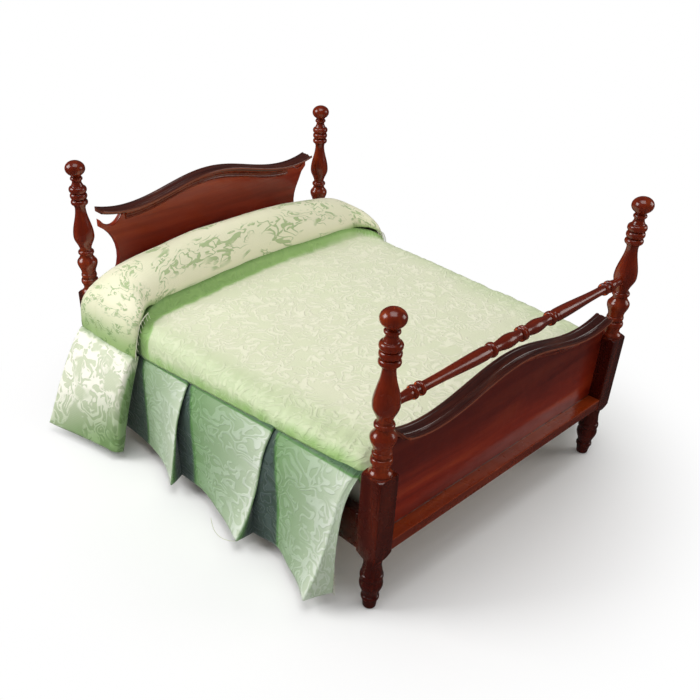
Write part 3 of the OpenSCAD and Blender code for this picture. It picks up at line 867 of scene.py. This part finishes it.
def mouldingOutline():
    # the moulding's end, as (forward from its back, up from its back edge), all the way round
    outline = [(0, -crest["thick"]), (0, -0.25)]
    at = 0.0
    for width, crown in crest["reeds"]:
        for i in range(9):
            t = i / 8
            lift = crown * math.sin(math.pi * t) ** 0.6 - 0.25
            outline.append((at + 0.06 + (width - 0.12) * t, lift - crest["slope"] * (at + width * t)))
        at += width
    width, depth = crest["cove"]
    for i in range(1, 8):
        t = i / 8
        outline.append((at + width * t, -0.2 - depth * math.sin(math.pi * t) - 0.1 * t))
    at += width
    outline += [(at + 0.05, -0.27), (at + 0.2, -0.2), (at + 0.55, -0.2), (at + 0.72, -0.27),
                (at + 0.8, -0.42), (at + 0.8, -1.0), (at + 0.65, -1.15)]
    outline += [(at - 0.4, -1.2), (at - 0.5, -1.7), (at - 1.6, -1.75), (at - 1.7, -crest["thick"])]
    return outline


def underOutline():
    # cove and bead planted on the panel's face below the crest
    top = -crest["thick"] + 0.1
    hollow = [math.radians(15 * i) for i in range(1, 7)]
    swell = [math.radians(18 * i - 45) for i in range(8)]
    outline = [(5.1, top), (7.2, top), (7.2, top - 0.9)]
    outline += [(7.2 - 0.9 * math.sin(a), top - 0.9 - 1.2 * (1 - math.cos(a))) for a in hollow]
    outline += [(6.3, top - 2.3), (6.45, top - 2.45)]
    outline += [(5.75 + 0.7 * math.cos(a), top - 2.95 - 0.7 * math.sin(a)) for a in swell]
    outline += [(5.5, top - 3.75), (5.4, top - 4.2), (5.1, top - 4.25)]
    return outline


def sweepAlong(outline, half, back, dip):
    # extrudes an outline along the serpentine line, from one end to the other
    deselectAll()
    bpy.ops.mesh.primitive_circle_add(vertices=len(outline), radius=1, fill_type="NGON")
    piece = bpy.context.object
    for vertex, (forward, up) in zip(piece.data.vertices, outline):
        vertex.co = Vector((-half, back - forward, dip + up + crestLine(half))) * mm
    bpy.ops.object.mode_set(mode="EDIT")
    bpy.ops.mesh.select_all(action="SELECT")
    step = 2 * half / crest["slices"]
    for i in range(crest["slices"]):
        x = -half + i * step
        bpy.ops.mesh.extrude_region_move(TRANSFORM_OT_translate={
            "value": (step * mm, 0, (crestLine(x + step) - crestLine(x)) * mm)})
    bpy.ops.mesh.select_all(action="SELECT")
    bpy.ops.mesh.normals_make_consistent(inside=False)
    bpy.ops.object.mode_set(mode="OBJECT")
    return piece


def makeCrest(node, material, underMaterial):
    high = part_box(node)[1]
    back, dip = high.y / mm, high.z / mm - crest["rise"]
    piece = sweepAlong(mouldingOutline(), crest["half"], back, dip)
    smoothByAngle(piece, 33)
    finishPiece(piece, node + "_reeded", material, "bedstead", [node])
    under = sweepAlong(underOutline(), crest["underHalf"], back + 2.9, dip)
    smoothByAngle(under, 33)
    finishPiece(under, node + "_bead", underMaterial, "bedstead")


def closeHorn(board):
    # the right horn stands a little higher than the left and nearly closes its slot
    (fromX, fromZ), (fullX, fullZ) = crest["hornFrom"], crest["hornFull"]
    for vertex in board.data.vertices:
        x, z = vertex.co.x / mm, vertex.co.z / mm
        vertex.co.z += crest["hornLift"] * smooth(fromX, fullX, x) * smooth(fromZ, fullZ, z) * mm


# the coverlet, and what all the bedding shares
bed = {
    "footEnd": -79.0,
    "topHeight": 57.9,
    "crown": 1.0,
    "edge": 6.5,            # roundness of the coverlet's long edges
    "seamFoot": (67.6, 52.6),   # x and height of the skirt's seam at its foot end
    "seamHead": (71.0, 44.6),
    "seamFrom": -76,
    "seamLength": 117,
    "gather": 9,            # width of the gathered strip along the seam
    "lumps": (0.55, 0.22),  # long and short unevenness of the top
    "creases": 0.55,        # depth of the pulls that run up from the seam
    "puckers": (0.30, 0.22),    # up and out
    "rise": 4.4,            # how far it rises into the crease below the cover
    "tuck": (-72, 3.2),     # where its foot end turns down behind the footboard, and how far
    "hem": 5.2,
    "cloth": 0.35,
    "cut": (0.154, 0.140),  # flat cloth, across the bed and along it, in metres
}

cover = {
    "cut": (0.184, 0.055),  # flat cloth, between its creases and from front hem to back, in metres
    "backEnd": 79.2,
    "front": 52.0,          # where its front meets the coverlet at the middle of the bed
    "askew": (0.075, 0.015),    # how much that line leans, left and right of the middle
    "frontEnd": 42.0,       # where it meets the crease
    "turnsIn": (61, 70),    # between these its front runs to the crease
    "overShare": 0.8,       # share of the cloth that goes over the bolster; the rest hangs behind
    "backHem": 46.0,
    "rightDrop": 2.2,       # its right end lies closer to the coverlet than its left
    "creaseHeight": 44.6,   # where its ends turn out into the flaps
    "roundness": 1.88,      # of the section over the bolster
    # half profiles from the middle out and down, as (x, height): along the hem and along the top
    "hemLine": [(0, 61.6), (30, 61.6), (54, 61.7), (62, 62.4), (66, 62.9), (68.9, 60.9),
                (70.9, 57.1), (72.6, 51.0), (73.8, 44.6)],
    "topLine": [(0, 78.8), (25, 78.4), (43, 76.6), (57, 74.2), (66.5, 70.6), (72.3, 65.4),
                (75.2, 59.3), (76.0, 52.5), (75.8, 44.6)],
}


def coverFront(x):
    # the line along which the cover meets the coverlet, a little askew
    left, right = cover["askew"]
    line = cover["front"] + (right * x if x > 0 else left * x)
    return mix(line, cover["frontEnd"], smooth(*cover["turnsIn"], abs(x)))


def seamPlace(y):
    t = clamp((y - bed["seamFrom"]) / bed["seamLength"], 0, 1.1)
    foot, head = bed["seamFoot"], bed["seamHead"]
    return mix(foot[0], head[0], t), mix(foot[1], head[1], t)


def clothSheet(across, along, place, cutSize):
    # a grid whose points are laid by place(s, t), with s and t from 0 to 1, in millimetres
    deselectAll()
    bpy.ops.mesh.primitive_grid_add(x_subdivisions=across, y_subdivisions=along, size=1)
    sheet = bpy.context.object
    # place also gives each point its painted shade in folds
    depth = sheet.data.attributes.new("paintedFoldShade", "FLOAT", "POINT")
    for i, vertex in enumerate(sheet.data.vertices):
        point, fold = place(vertex.co.x + 0.5, vertex.co.y + 0.5)
        vertex.co = Vector(point) * mm
        depth.data[i].value = fold
    layer = sheet.data.uv_layers.active
    layer.name = "UVMap"
    for corner in layer.data:
        corner.uv = (corner.uv[0] * cutSize[0], corner.uv[1] * cutSize[1])
    return sheet


def turnOver(sheet):
    pickOnly(sheet)
    bpy.ops.object.mode_set(mode="EDIT")
    bpy.ops.mesh.select_all(action="SELECT")
    bpy.ops.mesh.flip_normals()
    bpy.ops.object.mode_set(mode="OBJECT")


def thicken(sheet, thickness, offset):
    addModifier(sheet, "SOLIDIFY", thickness=thickness * mm, offset=offset, use_even_offset=False)
    applyModifiers(sheet)
    pickOnly(sheet)
    bpy.ops.object.shade_smooth()


def coverletPoint(s, t):
    y = mix(bed["footEnd"], 58, t)
    seamX, seamZ = seamPlace(y)
    edge = bed["edge"]
    top = bed["topHeight"] + 1.0 * smooth(-60, 40, y)
    flat = seamX - edge
    turn = math.acos(clamp(1 - (top - seamZ) / edge))
    drop = max(0, top - edge - seamZ)
    length = flat + edge * turn + drop
    side = 1 if s > 0.5 else -1
    along = abs(2 * s - 1) * length
    if along < flat:
        x, z = along, top + bed["crown"] * (1 - (along / flat) ** 2)
    elif along < flat + edge * turn:
        angle = (along - flat) / edge
        x, z = flat + edge * math.sin(angle), top - edge * (1 - math.cos(angle))
    else:
        x, z = seamX, top - edge - (along - flat - edge * turn)
    near = smooth(length - bed["gather"], length, along)
    x += 0.35 * near
    longLump, shortLump = bed["lumps"]
    lump = longLump * ripple(x * side, y, 3.1, 34) + shortLump * ripple(x * side, y, 8.4, 11)
    z += lump * (1 - near)
    pucker = ripple(y, side * 9.0, 2.2, 3.4)
    crease = abs(ripple(y + 0.35 * along, side * 5.0, 7.7, 4.6))
    z -= bed["creases"] * smooth(0.30, 0.0, crease) * smooth(length - 22, length - 7, along) * (1 - near)
    up, out = bed["puckers"]
    z += up * pucker * smooth(length - 20, length - 5, along) * (1 - smooth(length - 3, length, along))
    x += out * pucker * near
    tuckFrom, tuck = bed["tuck"]
    z -= tuck * smooth(tuckFrom, bed["footEnd"], y) ** 2
    front = coverFront(side * x) - 3.6
    rise = smooth(front, front + 4.2, y)
    z += bed["rise"] * rise * (1 - (0.35 if side > 0 else 0.8) * smooth(52, 70, x))
    # painted shade: green where the coverlet rises under the cover, a band before the seam, the gathered
    # seam, and a dark seam line
    deep = 0.46 - 0.12 * side * x / 60
    start = front - 2.4 + 1.2 * side * x / 60 + 0.9 * ripple(x * side, y, 0, 4.5)
    fold = deep * smooth(start, start + 3.6, y) * (0.9 + 0.1 * ripple(x * side, y, 0, 2.5))
    fold += 0.4 * smooth(front + 2.4, front + 3.8, y)
    under = 0.30 + 0.10 * pucker
    fold = max(fold, under * smooth(length - bed["gather"], length - 1.0, along),
               0.12 * smooth(length - 26, length - 8, along),
               0.9 * smooth(length - 0.9, length - 0.2, along))
    return (side * x, y, z), clamp(fold)


def makeCoverlet(material):
    sheet = clothSheet(170, 150, coverletPoint, bed["cut"])
    thicken(sheet, bed["cloth"], -1)
    finishPiece(sheet, "coverlet_top_sheet", material, "bedding", ["coverlet_top"])


# Each pleat runs from a valley out to a ridge, and folds back under itself to the next valley.
pleats = {
    "cut": (0.192, 0.045),               # flat cloth, along the hem and down from the seam, in metres
    "ridgeHem": [(79.0, 58.0), (83.8, 8.6), (85.2, -34.0), (86.9, -71.8)],
    "valleyHem": [(75.6, 79.0), (73.8, 62.0), (76.2, 11.2), (76.8, -34.2), (76.3, -75.6)],
    "ridgeSeam": [50.0, 10.4, -37.6, -75.6],
    "valleySeam": [79.0, 58.0, 18.4, -29.6, -77.0],
    "ridgeInset": 0.15,                  # how far inside the seam line a fold starts
    "valleyInset": 1.2,
    # how a fold leaves the seam: the share it springs out at once, how soon, and how late the rest
    "ridgeBends": [(0.50, 4, 1.6), (0.50, 4, 1.6), (0.40, 6, 3.4), (0.45, 8, 3.0)],
    "valleyBends": [(0.75, 5, 1.0), (0.75, 5, 1.0), (0.75, 5, 1.0), (0.75, 5, 1.0), (0.95, 7, 1.0)],
    "flare": [2.4, 3.4, 2.1, 2.7],       # how late a panel sweeps out to its ridge
    "dip": [0, 0, 0.8, 1.6],             # how far a panel first runs inwards
    "shadeTop": [60, 41, 9.8, -38.2],    # where the shade of the pleat before ends, at the seam
    "shadeLow": [60, 38, 3.4, -45.4],    # and lower down
    "panelSteps": 46,
    "returnSteps": 16,
    "rows": 44,
}


def skirtSeam(y):
    # the seam ends at the foot of the coverlet and below the cover's hanging end
    return seamPlace(clamp(y, -77, 46))


def foldSpread(bend, t):
    spring, soon, late = bend
    return spring * (1 - (1 - t) ** soon) + (1 - spring) * t ** late


def skirtPath():
    # one entry for each column of points: pleat, panel or return, and share of it
    path = []
    for i in range(4):
        path += [(i, "panel", k / pleats["panelSteps"]) for k in range(pleats["panelSteps"])]
        path += [(i, "return", k / pleats["returnSteps"]) for k in range(pleats["returnSteps"])]
    path.append((3, "return", 1.0))
    return path


def foldLine(kind, i, t):
    # the plan place of a ridge or a valley at the share t of the way down
    (hemX, hemY), seamY = pleats[kind + "Hem"][i], pleats[kind + "Seam"][i]
    seamX = skirtSeam(seamY)[0] - pleats[kind + "Inset"]
    return mix(seamX, hemX, foldSpread(pleats[kind + "Bends"][i], t)), mix(seamY, hemY, t)


def skirtPoint(entry, t):
    i, part, s = entry
    ridgeX, ridgeY = foldLine("ridge", i, t)
    if part == "panel":
        startX, startY = foldLine("valley", i, t)
        x = mix(startX, ridgeX, s ** mix(1.0, pleats["flare"][i], smooth(0, 0.5, t)))
        x -= pleats["dip"][i] * t * math.sin(math.pi * min(1, s / 0.62)) ** 2
        y = mix(startY, ridgeY, s)
        # painted shade: each panel starts in the shade of the pleat before, returns darken inwards, and a
        # dark line runs below the seam
        shadeEnd = mix(pleats["shadeTop"][i], pleats["shadeLow"][i], 1 - (1 - t) ** 3)
        fold = 0.34 * (1 - s) ** 0.5 + 0.66 * smooth(shadeEnd - 1.3 * t - 0.4, shadeEnd + 0.5, y)
    else:
        endX, endY = foldLine("valley", i + 1, t)
        x, y = mix(ridgeX, endX, s), mix(ridgeY, endY, s ** 1.3)
        fold = 0.12 if i == 3 else mix(0.25, 1, smooth(0.0, 0.42 + 0.2 * t ** 4, s))
    fold = max(fold, 0.75 * smooth(0.055, 0.02, t))
    top = skirtSeam(y)[1] + 0.9
    hem = bed["hem"] + 0.4 * ripple(y, x, 1.7, 13) + 0.12 * ripple(y, x, 4.0, 1.4)
    z = mix(top, hem, t)
    bulge = math.sin(math.pi * t)
    x += 0.7 * bulge * ripple(y, z, 6.0, 26) + 0.15 * ripple(y, z, 1.0, 6)
    return x, y, z, clamp(fold)


def makeSkirt(side, material):
    path = skirtPath()
    columns = len(path) - 1

    def place(s, t):
        x, y, z, fold = skirtPoint(path[int(round(s * columns))], 1 - t)
        return (side * x, y, z), fold

    sheet = clothSheet(columns, pleats["rows"], place, pleats["cut"])
    addModifier(sheet, "SMOOTH", factor=0.5, iterations=2)
    applyModifiers(sheet)
    if side < 0:
        turnOver(sheet)
    thicken(sheet, bed["cloth"], 0)
    word = "left" if side < 0 else "right"
    finishPiece(sheet, f"skirt_{word}_sheet", material, "bedding", [f"skirt_{word}"])


def curveAt(points, share):
    # a smooth curve through evenly numbered points
    place = clamp(share) * (len(points) - 1)
    i = min(int(place), len(points) - 2)
    t = place - i
    p0, p1, p2, p3 = (points[min(max(i + k, 0), len(points) - 1)] for k in (-1, 0, 1, 2))
    return tuple(0.5 * (2 * b + (c - a) * t + (2 * a - 5 * b + 4 * c - d) * t ** 2
                        + (3 * b - a - 3 * c + d) * t ** 3) for a, b, c, d in zip(p0, p1, p2, p3))


def coverPoint(s, t):
    side = 1 if s > 0.5 else -1
    reach = abs(2 * s - 1)
    # t runs from the front hem over the top to the back, which hangs straight down
    share, power = cover["overShare"], 2 / cover["roundness"]
    over = math.sin(math.pi * clamp(t / share)) ** power if t < share else 0.0
    hemX, hemZ = curveAt(cover["hemLine"], reach)
    topX, topZ = curveAt(cover["topLine"], reach)
    if t < 0.5:
        x, z = mix(hemX, topX, over), mix(hemZ, topZ, over)
    else:
        x, z = topX, mix(max(hemZ - 1.5, cover["creaseHeight"]), topZ, over)
        if t > share:
            z = mix(z, min(z, cover["backHem"]), (t - share) / (1 - share))
    front = coverFront(side * x)
    middle, half = (front + cover["backEnd"]) / 2, (cover["backEnd"] - front) / 2
    cosine = math.cos(math.pi * clamp(t / share))
    y = middle - half * math.copysign(abs(cosine) ** power, cosine)
    fall = smooth(0.62, 0.95, reach)
    if side > 0:
        z -= cover["rightDrop"] * smooth(0.56, 0.74, reach) * smooth(0.98, 0.86, reach) * (1 - over) ** 2
    wear = 0.45 * ripple(side * x, y, z, 21) + 0.25 * ripple(side * x + 40, y, z, 8)
    z += wear * over * (1 - 0.6 * fall)
    x += 0.5 * fall * over * ripple(y, z, side * 3.0, 12)
    y -= 0.4 * over * ripple(side * x, 5.0, z, 17)
    # painted shade along the front hem and, greener, down the ends that fall to the flaps
    fold = 0.30 * smooth(0.07, 0.0, t) * (1 - fall)
    low = smooth(cover["creaseHeight"] + 17, cover["creaseHeight"], z)
    fold = max(fold, (0.15 + 0.21 * low) * fall * smooth(72.5, 66, z))
    y = min(y, cover["backEnd"])
    return (side * x, y, z), clamp(fold)


def makeCover(material):
    sheet = clothSheet(200, 90, coverPoint, cover["cut"])
    thicken(sheet, bed["cloth"], -1)
    finishPiece(sheet, "bolster_cover_sheet", material, "bedding", ["bolster_cover"])


flapShape = {
    "cut": (0.042, 0.045),  # flat cloth, along its crease and down to its hem, in metres
    "turnIn": 0.2,          # share of it that turns in along the front edge
    "hemmed": 0.1,          # how much thicker it is than the rest
    "creaseFront": (74.3, 42.0),
    "creaseBack": (76.0, 79.4),
    "lean": 1.05,
    "frontHem": (84.5, 42.0),
    "cornerHem": (88.5, 46.5),
    "backHem": (97.0, 81.2),
    "hem": 4.2,
}


def flapPoint(s, t):
    # s runs from the inner edge of the front return to the back, t from the crease to the hem
    base = cover["creaseHeight"] + 0.5
    frontHem, cornerHem, backHem = flapShape["frontHem"], flapShape["cornerHem"], flapShape["backHem"]
    creaseFront, creaseBack = flapShape["creaseFront"], flapShape["creaseBack"]
    turnIn = flapShape["turnIn"]
    if s < turnIn:
        share = s / turnIn
        bend = math.sin(share * math.pi / 2)
        hemX = mix(frontHem[0], cornerHem[0], bend)
        hemY = mix(frontHem[1], cornerHem[1], share ** 1.6)
        startX = mix(creaseFront[0] - 2.2, creaseFront[0], bend)
        startY = creaseFront[1] + 0.6 * (1 - share)
    else:
        share = (s - turnIn) / (1 - turnIn)
        hemX = mix(cornerHem[0], backHem[0], share ** 1.1)
        hemY = mix(cornerHem[1], backHem[1], share)
        startX = mix(creaseFront[0], creaseBack[0], share)
        startY = mix(creaseFront[1], creaseBack[1], share)
    x = mix(startX, hemX, t ** flapShape["lean"])
    y = mix(startY, hemY, t ** mix(0.9, 1.15, s))
    z = mix(base, flapShape["hem"], t ** mix(1.35, 1.0, smooth(0.25, 0.0, s)))
    body = math.sin(math.pi * min(1, t * 1.05)) * math.sin(math.pi * clamp(0.15 + 0.85 * s))
    x += 2.0 * body
    z += 1.0 * body
    z += 0.5 * ripple(x, y, 2.0, 15) * t
    x += 0.3 * ripple(x, y, z, 7) * t
    # painted shade: dark in the front return, along the crease, and greener towards the hem at the front
    fold = 0.62 * smooth(0.17, 0.03, s) * smooth(0.03, 0.3, t)
    fold = max(fold, 0.25 * smooth(0.10, 0.0, t), 0.34 * smooth(0.5, 1.1, t + 0.35 * (0.6 - s)))
    return (x, y, z), clamp(fold)


def makeFlap(side, material):
    def place(s, t):
        (x, y, z), fold = flapPoint(s, t)
        return (side * x, y, z), fold

    sheet = clothSheet(70, 60, place, flapShape["cut"])
    if side < 0:
        turnOver(sheet)
    thicken(sheet, bed["cloth"] + flapShape["hemmed"], -1)
    word = "left" if side < 0 else "right"
    finishPiece(sheet, f"flap_{word}_sheet", material, "bedding", [f"flap_{word}"])


# mattress and bolster, filled by cloth simulation
filling = {
    "voxel": 2.2,
    "pressure": 3.5,
    "frames": 20,
    "most": 0.4,            # how far a point may swell
    # how much smaller than its block each is made: at each end, front, back, below and above
    "mattress": (0.6, 0.6, 0.6, 0.1, 0.6),
    "bolster": (14.0, 7.0, 2.6, 0.4, 4.6),
}


def makePadded(node, material):
    # the CAD block a little smaller, remeshed, blown up as a cloth case, and capped
    pad = copyOfNode(node)
    low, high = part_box(node)
    ends, front, back, below, above = (inset * mm for inset in filling[node])
    newLow = low + Vector((ends, front, below))
    newHigh = high - Vector((ends, back, above))
    for vertex in pad.data.vertices:
        for axis in range(3):
            share = (vertex.co[axis] - low[axis]) / (high[axis] - low[axis])
            vertex.co[axis] = mix(newLow[axis], newHigh[axis], share)
    addModifier(pad, "REMESH", mode="VOXEL", voxel_size=filling["voxel"] * mm)
    applyModifiers(pad)
    before = [vertex.co.copy() for vertex in pad.data.vertices]
    cloth = addModifier(pad, "CLOTH")
    cloth.settings.use_pressure = True
    cloth.settings.uniform_pressure_force = filling["pressure"]
    cloth.settings.effector_weights.gravity = 0
    cloth.settings.quality = 4
    for number in range(1, filling["frames"] + 1):
        bpy.context.scene.frame_set(number)
    applyModifiers(pad)
    bpy.context.scene.frame_set(1)
    for vertex, old in zip(pad.data.vertices, before):
        move = vertex.co - old
        if move.length > filling["most"] * mm:
            vertex.co = old + move.normalized() * filling["most"] * mm
    addModifier(pad, "SMOOTH", factor=0.5, iterations=3)
    addModifier(pad, "SUBSURF", levels=1, render_levels=1)
    applyModifiers(pad)
    bpy.ops.object.shade_smooth()
    finishPiece(pad, node + "_case", material, "bedding", [node])


def threadTube(points, radius, name):
    curve = bpy.data.curves.new(name, "CURVE")
    curve.dimensions = "3D"
    curve.bevel_depth = radius * mm
    curve.bevel_resolution = 1
    for line in points:
        spline = curve.splines.new("NURBS")
        spline.points.add(len(line) - 1)
        spline.use_endpoint_u = True
        for point, place in zip(spline.points, line):
            point.co = (*(Vector(place) * mm), 1)
    piece = bpy.data.objects.new(name, curve)
    bpy.context.scene.collection.objects.link(piece)
    pickOnly(piece)
    bpy.ops.object.convert(target="MESH")
    return bpy.context.object


glueLine = {"half": 60, "run": 9.0, "gap": 0.9, "radius": 0.20}


def makeGlueLine(material):
    # dark lacquer and glue that pooled along the foot of the footboard's panel
    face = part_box("footboard_panel")[0].y / mm
    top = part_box("footboard_rail")[1].z / mm
    lines = []
    x = -glueLine["half"]
    while x < glueLine["half"]:
        length = glueLine["run"] * (1 + 0.8 * ripple(x, 3.0, 1.0, 9))
        lines.append([(x + length * i / 6, face - 0.05 + 0.10 * ripple(x + i, 1.0, 5.0, 1.1),
                       top + 0.08 + 0.10 * ripple(x + i, 8.0, 2.0, 0.9)) for i in range(7)])
        x += length + glueLine["gap"] * (1 + ripple(x, 7.0, 4.0, 5))
    piece = threadTube(lines, glueLine["radius"], "glue_line")
    finishPiece(piece, "glue_line", material, "bedstead")


threads = {
    "radius": 0.11,
    "strands": 3,           # along the raw edge where the cover's end was cut
    "tufts": 9,             # across that edge
    "fringe": 7,            # at the foot of the last fold
    # one pulled thread curls from the middle pleat's hem
    "pulled": [(-85.0, -33.6, 5.2), (-86.6, -31.6, 4.9), (-87.6, -28.6, 4.8), (-88.0, -25.4, 5.6),
               (-87.4, -23.0, 7.6), (-86.9, -21.9, 9.8)],
}


def makeThreads(material):
    lines = [threads["pulled"]]
    edge = cover["hemLine"][-5:]
    for side in (-1, 1):
        for k in range(threads["strands"]):
            line = []
            for i in range(13):
                x, z = curveAt(edge, i / 12)
                sway = 0.8 * ripple(i * 0.9, k * 5.0, side * 2.0, 2.1)
                line.append((side * (x + 0.35 + 0.3 * k), 41.6 - 0.35 * k + 0.7 * sway, z + 0.5 * sway))
            lines.append(line)
        for k in range(threads["tufts"]):
            x, z = curveAt(edge, k / threads["tufts"])
            sway = ripple(k, side, 0.5, 1.7)
            lines.append([(side * x, 42.0, z), (side * (x + 0.5), 41.2 + 0.5 * sway, z - 0.9),
                          (side * (x + 0.3 + 0.3 * sway), 40.6, z - 2.2)])
        for k in range(threads["fringe"]):
            z = 5.4 + 1.5 * k + 0.5 * ripple(k, side, 9.0, 1.1)
            lines.append([(side * 76.2, -75.4, z), (side * (76.5 + 0.1 * k), -76.0, z - 0.2),
                          (side * (76.4 + 0.5 * ripple(k, 2.0, 1.0, 0.7)), -76.7, z - 0.7)])
    piece = threadTube(lines, threads["radius"], "loose_threads")
    finishPiece(piece, "loose_threads", material, "bedding")


studio = {
    "air": 0.28,            # light from all round
    "seen": 1.0,            # brightness of the air behind the bed
    "mirrored": 0.2,        # share of it seen in the lacquer
    "left": 5.0,
    "right": 1.7,
    "top": 3.6,
    "floorReflectionGlow": 0.05,     # painted reflection: how brightly the floor glows in the lacquer
    "floorFade": (0.095, 0.17),   # where the floor turns plain white, from the middle of the bed
}


def floorMaterial():
    material, nodes, links = emptyMaterial("pale_floor")
    rays = nodes.new("ShaderNodeLightPath")
    rays.label = "Camera or lacquer"
    place = nodes.new("ShaderNodeTexCoord")
    place.label = "Place on the floor"
    reach = nodes.new("ShaderNodeVectorMath")
    reach.label = "Distance from the bed"
    fade = nodes.new("ShaderNodeMapRange")
    fade.label = "Floor fades to white"
    faded = nodes.new("ShaderNodeMath")
    faded.label = "For the camera only"
    paper = nodes.new("ShaderNodeBsdfDiffuse")
    paper.label = "Pale paper"
    reflectionGlow = nodes.new("ShaderNodeEmission")
    reflectionGlow.label = "Painted floor reflection"
    white = nodes.new("ShaderNodeEmission")
    white.label = "White sweep"
    dimmed = nodes.new("ShaderNodeMixShader")
    dimmed.label = "Dimmer in reflections"
    swept = nodes.new("ShaderNodeMixShader")
    swept.label = "White far away"
    output = nodes.new("ShaderNodeOutputMaterial")
    output.label = "Floor surface"
    layOutNodes([[rays, place], [reach], [fade], [faded, paper, reflectionGlow], [dimmed, white], [swept],
                 [output]])
    sweepFrame = nodes.new("NodeFrame")
    sweepFrame.label = "White sweep"
    for node in (reach, fade, faded, white, swept):
        node.parent = sweepFrame
    paperFrame = nodes.new("NodeFrame")
    paperFrame.label = "Paper"
    for node in (paper, reflectionGlow, dimmed):
        node.parent = paperFrame

    reach.operation = "LENGTH"
    fade.interpolation_type = "SMOOTHSTEP"
    fade.inputs["From Min"].default_value, fade.inputs["From Max"].default_value = studio["floorFade"]
    faded.operation = "MULTIPLY"
    paper.inputs["Color"].default_value = (0.96, 0.96, 0.955, 1)
    # painted reflection: reflected rays see the floor glow instead of lit paper
    reflectionGlow.inputs["Color"].default_value = (1, 0.9, 0.85, 1)
    reflectionGlow.inputs["Strength"].default_value = studio["floorReflectionGlow"]
    white.inputs["Color"].default_value = (1, 1, 1, 1)
    links.new(place.outputs["Object"], reach.inputs[0])
    links.new(reach.outputs["Value"], fade.inputs["Value"])
    links.new(fade.outputs["Result"], faded.inputs[0])
    links.new(rays.outputs["Is Camera Ray"], faded.inputs[1])
    links.new(rays.outputs["Is Glossy Ray"], dimmed.inputs["Fac"])
    links.new(paper.outputs["BSDF"], dimmed.inputs[1])
    links.new(reflectionGlow.outputs["Emission"], dimmed.inputs[2])
    links.new(faded.outputs["Value"], swept.inputs["Fac"])
    links.new(dimmed.outputs["Shader"], swept.inputs[1])
    links.new(white.outputs["Emission"], swept.inputs[2])
    links.new(swept.outputs["Shader"], output.inputs["Surface"])
    return material


def addStage():
    deselectAll()
    bpy.ops.mesh.primitive_plane_add(size=12, location=(0, 0, -0.0003))
    floor = bpy.context.object
    floor.name = "floor"
    floor.data.materials.append(floorMaterial())


def addSoftbox(name, place, size, power, tint=(1, 1, 1)):
    aim = (Vector((0, 0, 0.05)) - Vector(place)).to_track_quat("-Z", "Y").to_euler()
    bpy.ops.object.light_add(type="AREA", location=place, rotation=aim)
    lamp = bpy.context.object
    lamp.name = name
    lamp.data.shape = "RECTANGLE"
    lamp.data.size, lamp.data.size_y = size
    lamp.data.energy = power
    lamp.data.color = tint


def addWorld():
    world = bpy.data.worlds.new("studio_air")
    bpy.context.scene.world = world
    world.use_nodes = True
    nodes, links = world.node_tree.nodes, world.node_tree.links
    nodes.clear()
    rays = nodes.new("ShaderNodeLightPath")
    rays.label = "Seen by the camera or not"
    behind = nodes.new("ShaderNodeMapRange")
    behind.label = "White behind the bed"
    mirrored = nodes.new("ShaderNodeMapRange")
    mirrored.label = "Dim in the lacquer"
    strength = nodes.new("ShaderNodeMath")
    strength.label = "Brightness of the air"
    air = nodes.new("ShaderNodeBackground")
    air.label = "Studio air"
    output = nodes.new("ShaderNodeOutputWorld")
    output.label = "World"
    layOutNodes([[rays], [behind, mirrored], [strength], [air], [output]])
    behind.inputs["To Min"].default_value = studio["air"]
    behind.inputs["To Max"].default_value = studio["seen"]
    mirrored.inputs["To Min"].default_value = 1
    mirrored.inputs["To Max"].default_value = studio["mirrored"]
    strength.operation = "MULTIPLY"
    air.inputs["Color"].default_value = (1, 1, 1, 1)
    links.new(rays.outputs["Is Camera Ray"], behind.inputs["Value"])
    links.new(rays.outputs["Is Glossy Ray"], mirrored.inputs["Value"])
    links.new(behind.outputs["Result"], strength.inputs[0])
    links.new(mirrored.outputs["Result"], strength.inputs[1])
    links.new(strength.outputs["Value"], air.inputs["Strength"])
    links.new(air.outputs["Background"], output.inputs["Surface"])


def addLights():
    addWorld()
    addSoftbox("softbox_left", (-0.58, 0.49, 0.55), (0.45, 0.45), studio["left"])
    addSoftbox("softbox_right", (0.66, -0.55, 0.40), (0.40, 0.40), studio["right"], (1, 0.97, 0.93))
    addSoftbox("softbox_top", (-0.10, -0.10, 0.95), (0.6, 0.6), studio["top"])
    bpy.context.scene.view_settings.view_transform = "Standard"


addCamera()
print("camera ready")

mahogany = {part: mahoganyMaterial("mahogany_" + part, **tones) for part, tones in lacquers.items()}
pineAlong = bareWoodMaterial("pine_along", 1)
pineAcross = bareWoodMaterial("pine_across", 0)
damask = {name: damaskMaterial(name + "_damask", **tones) for name, tones in cloths.items()}
calico = calicoMaterial("calico")
print("materials ready")

makePosts(mahogany["posts"])
makeBlanketRail(mahogany["across"])
easedCopy("footboard_panel", "board", mahogany["footboard"])
closeHorn(easedCopy("headboard_panel", "board", mahogany["headboard"]))
for node in ("footboard_rail", "headboard_rail"):
    easedCopy(node, "board", mahogany["ledge"])
for node in ("side_rail_left", "side_rail_right"):
    easedCopy(node, "board", mahogany["along"])
for node in ("footboard_crest", "headboard_crest"):
    makeCrest(node, mahogany["crest"], mahogany["across"])
for node in ("cleat_left", "cleat_right"):
    easedCopy(node, "strip", pineAlong)
for node in sorted(frame["nodes"]):
    if node.startswith("slat_"):
        easedCopy(node, "strip", pineAcross)
dowels = frame["nodes"]["joint_dowels"]
dowels.data.materials.clear()
dowels.data.materials.append(pineAlong)
makeGlueLine(mahogany["crest"])
print("bedstead ready")

makePadded("mattress", calico)
makePadded("bolster", calico)
makeCoverlet(damask["green"])
makeCover(damask["leaf"])
for side in (-1, 1):
    makeSkirt(side, damask["skirt"])
    makeFlap(side, damask["satin"])
makeThreads(damask["green"])
print("bedding ready")

addStage()
addLights()
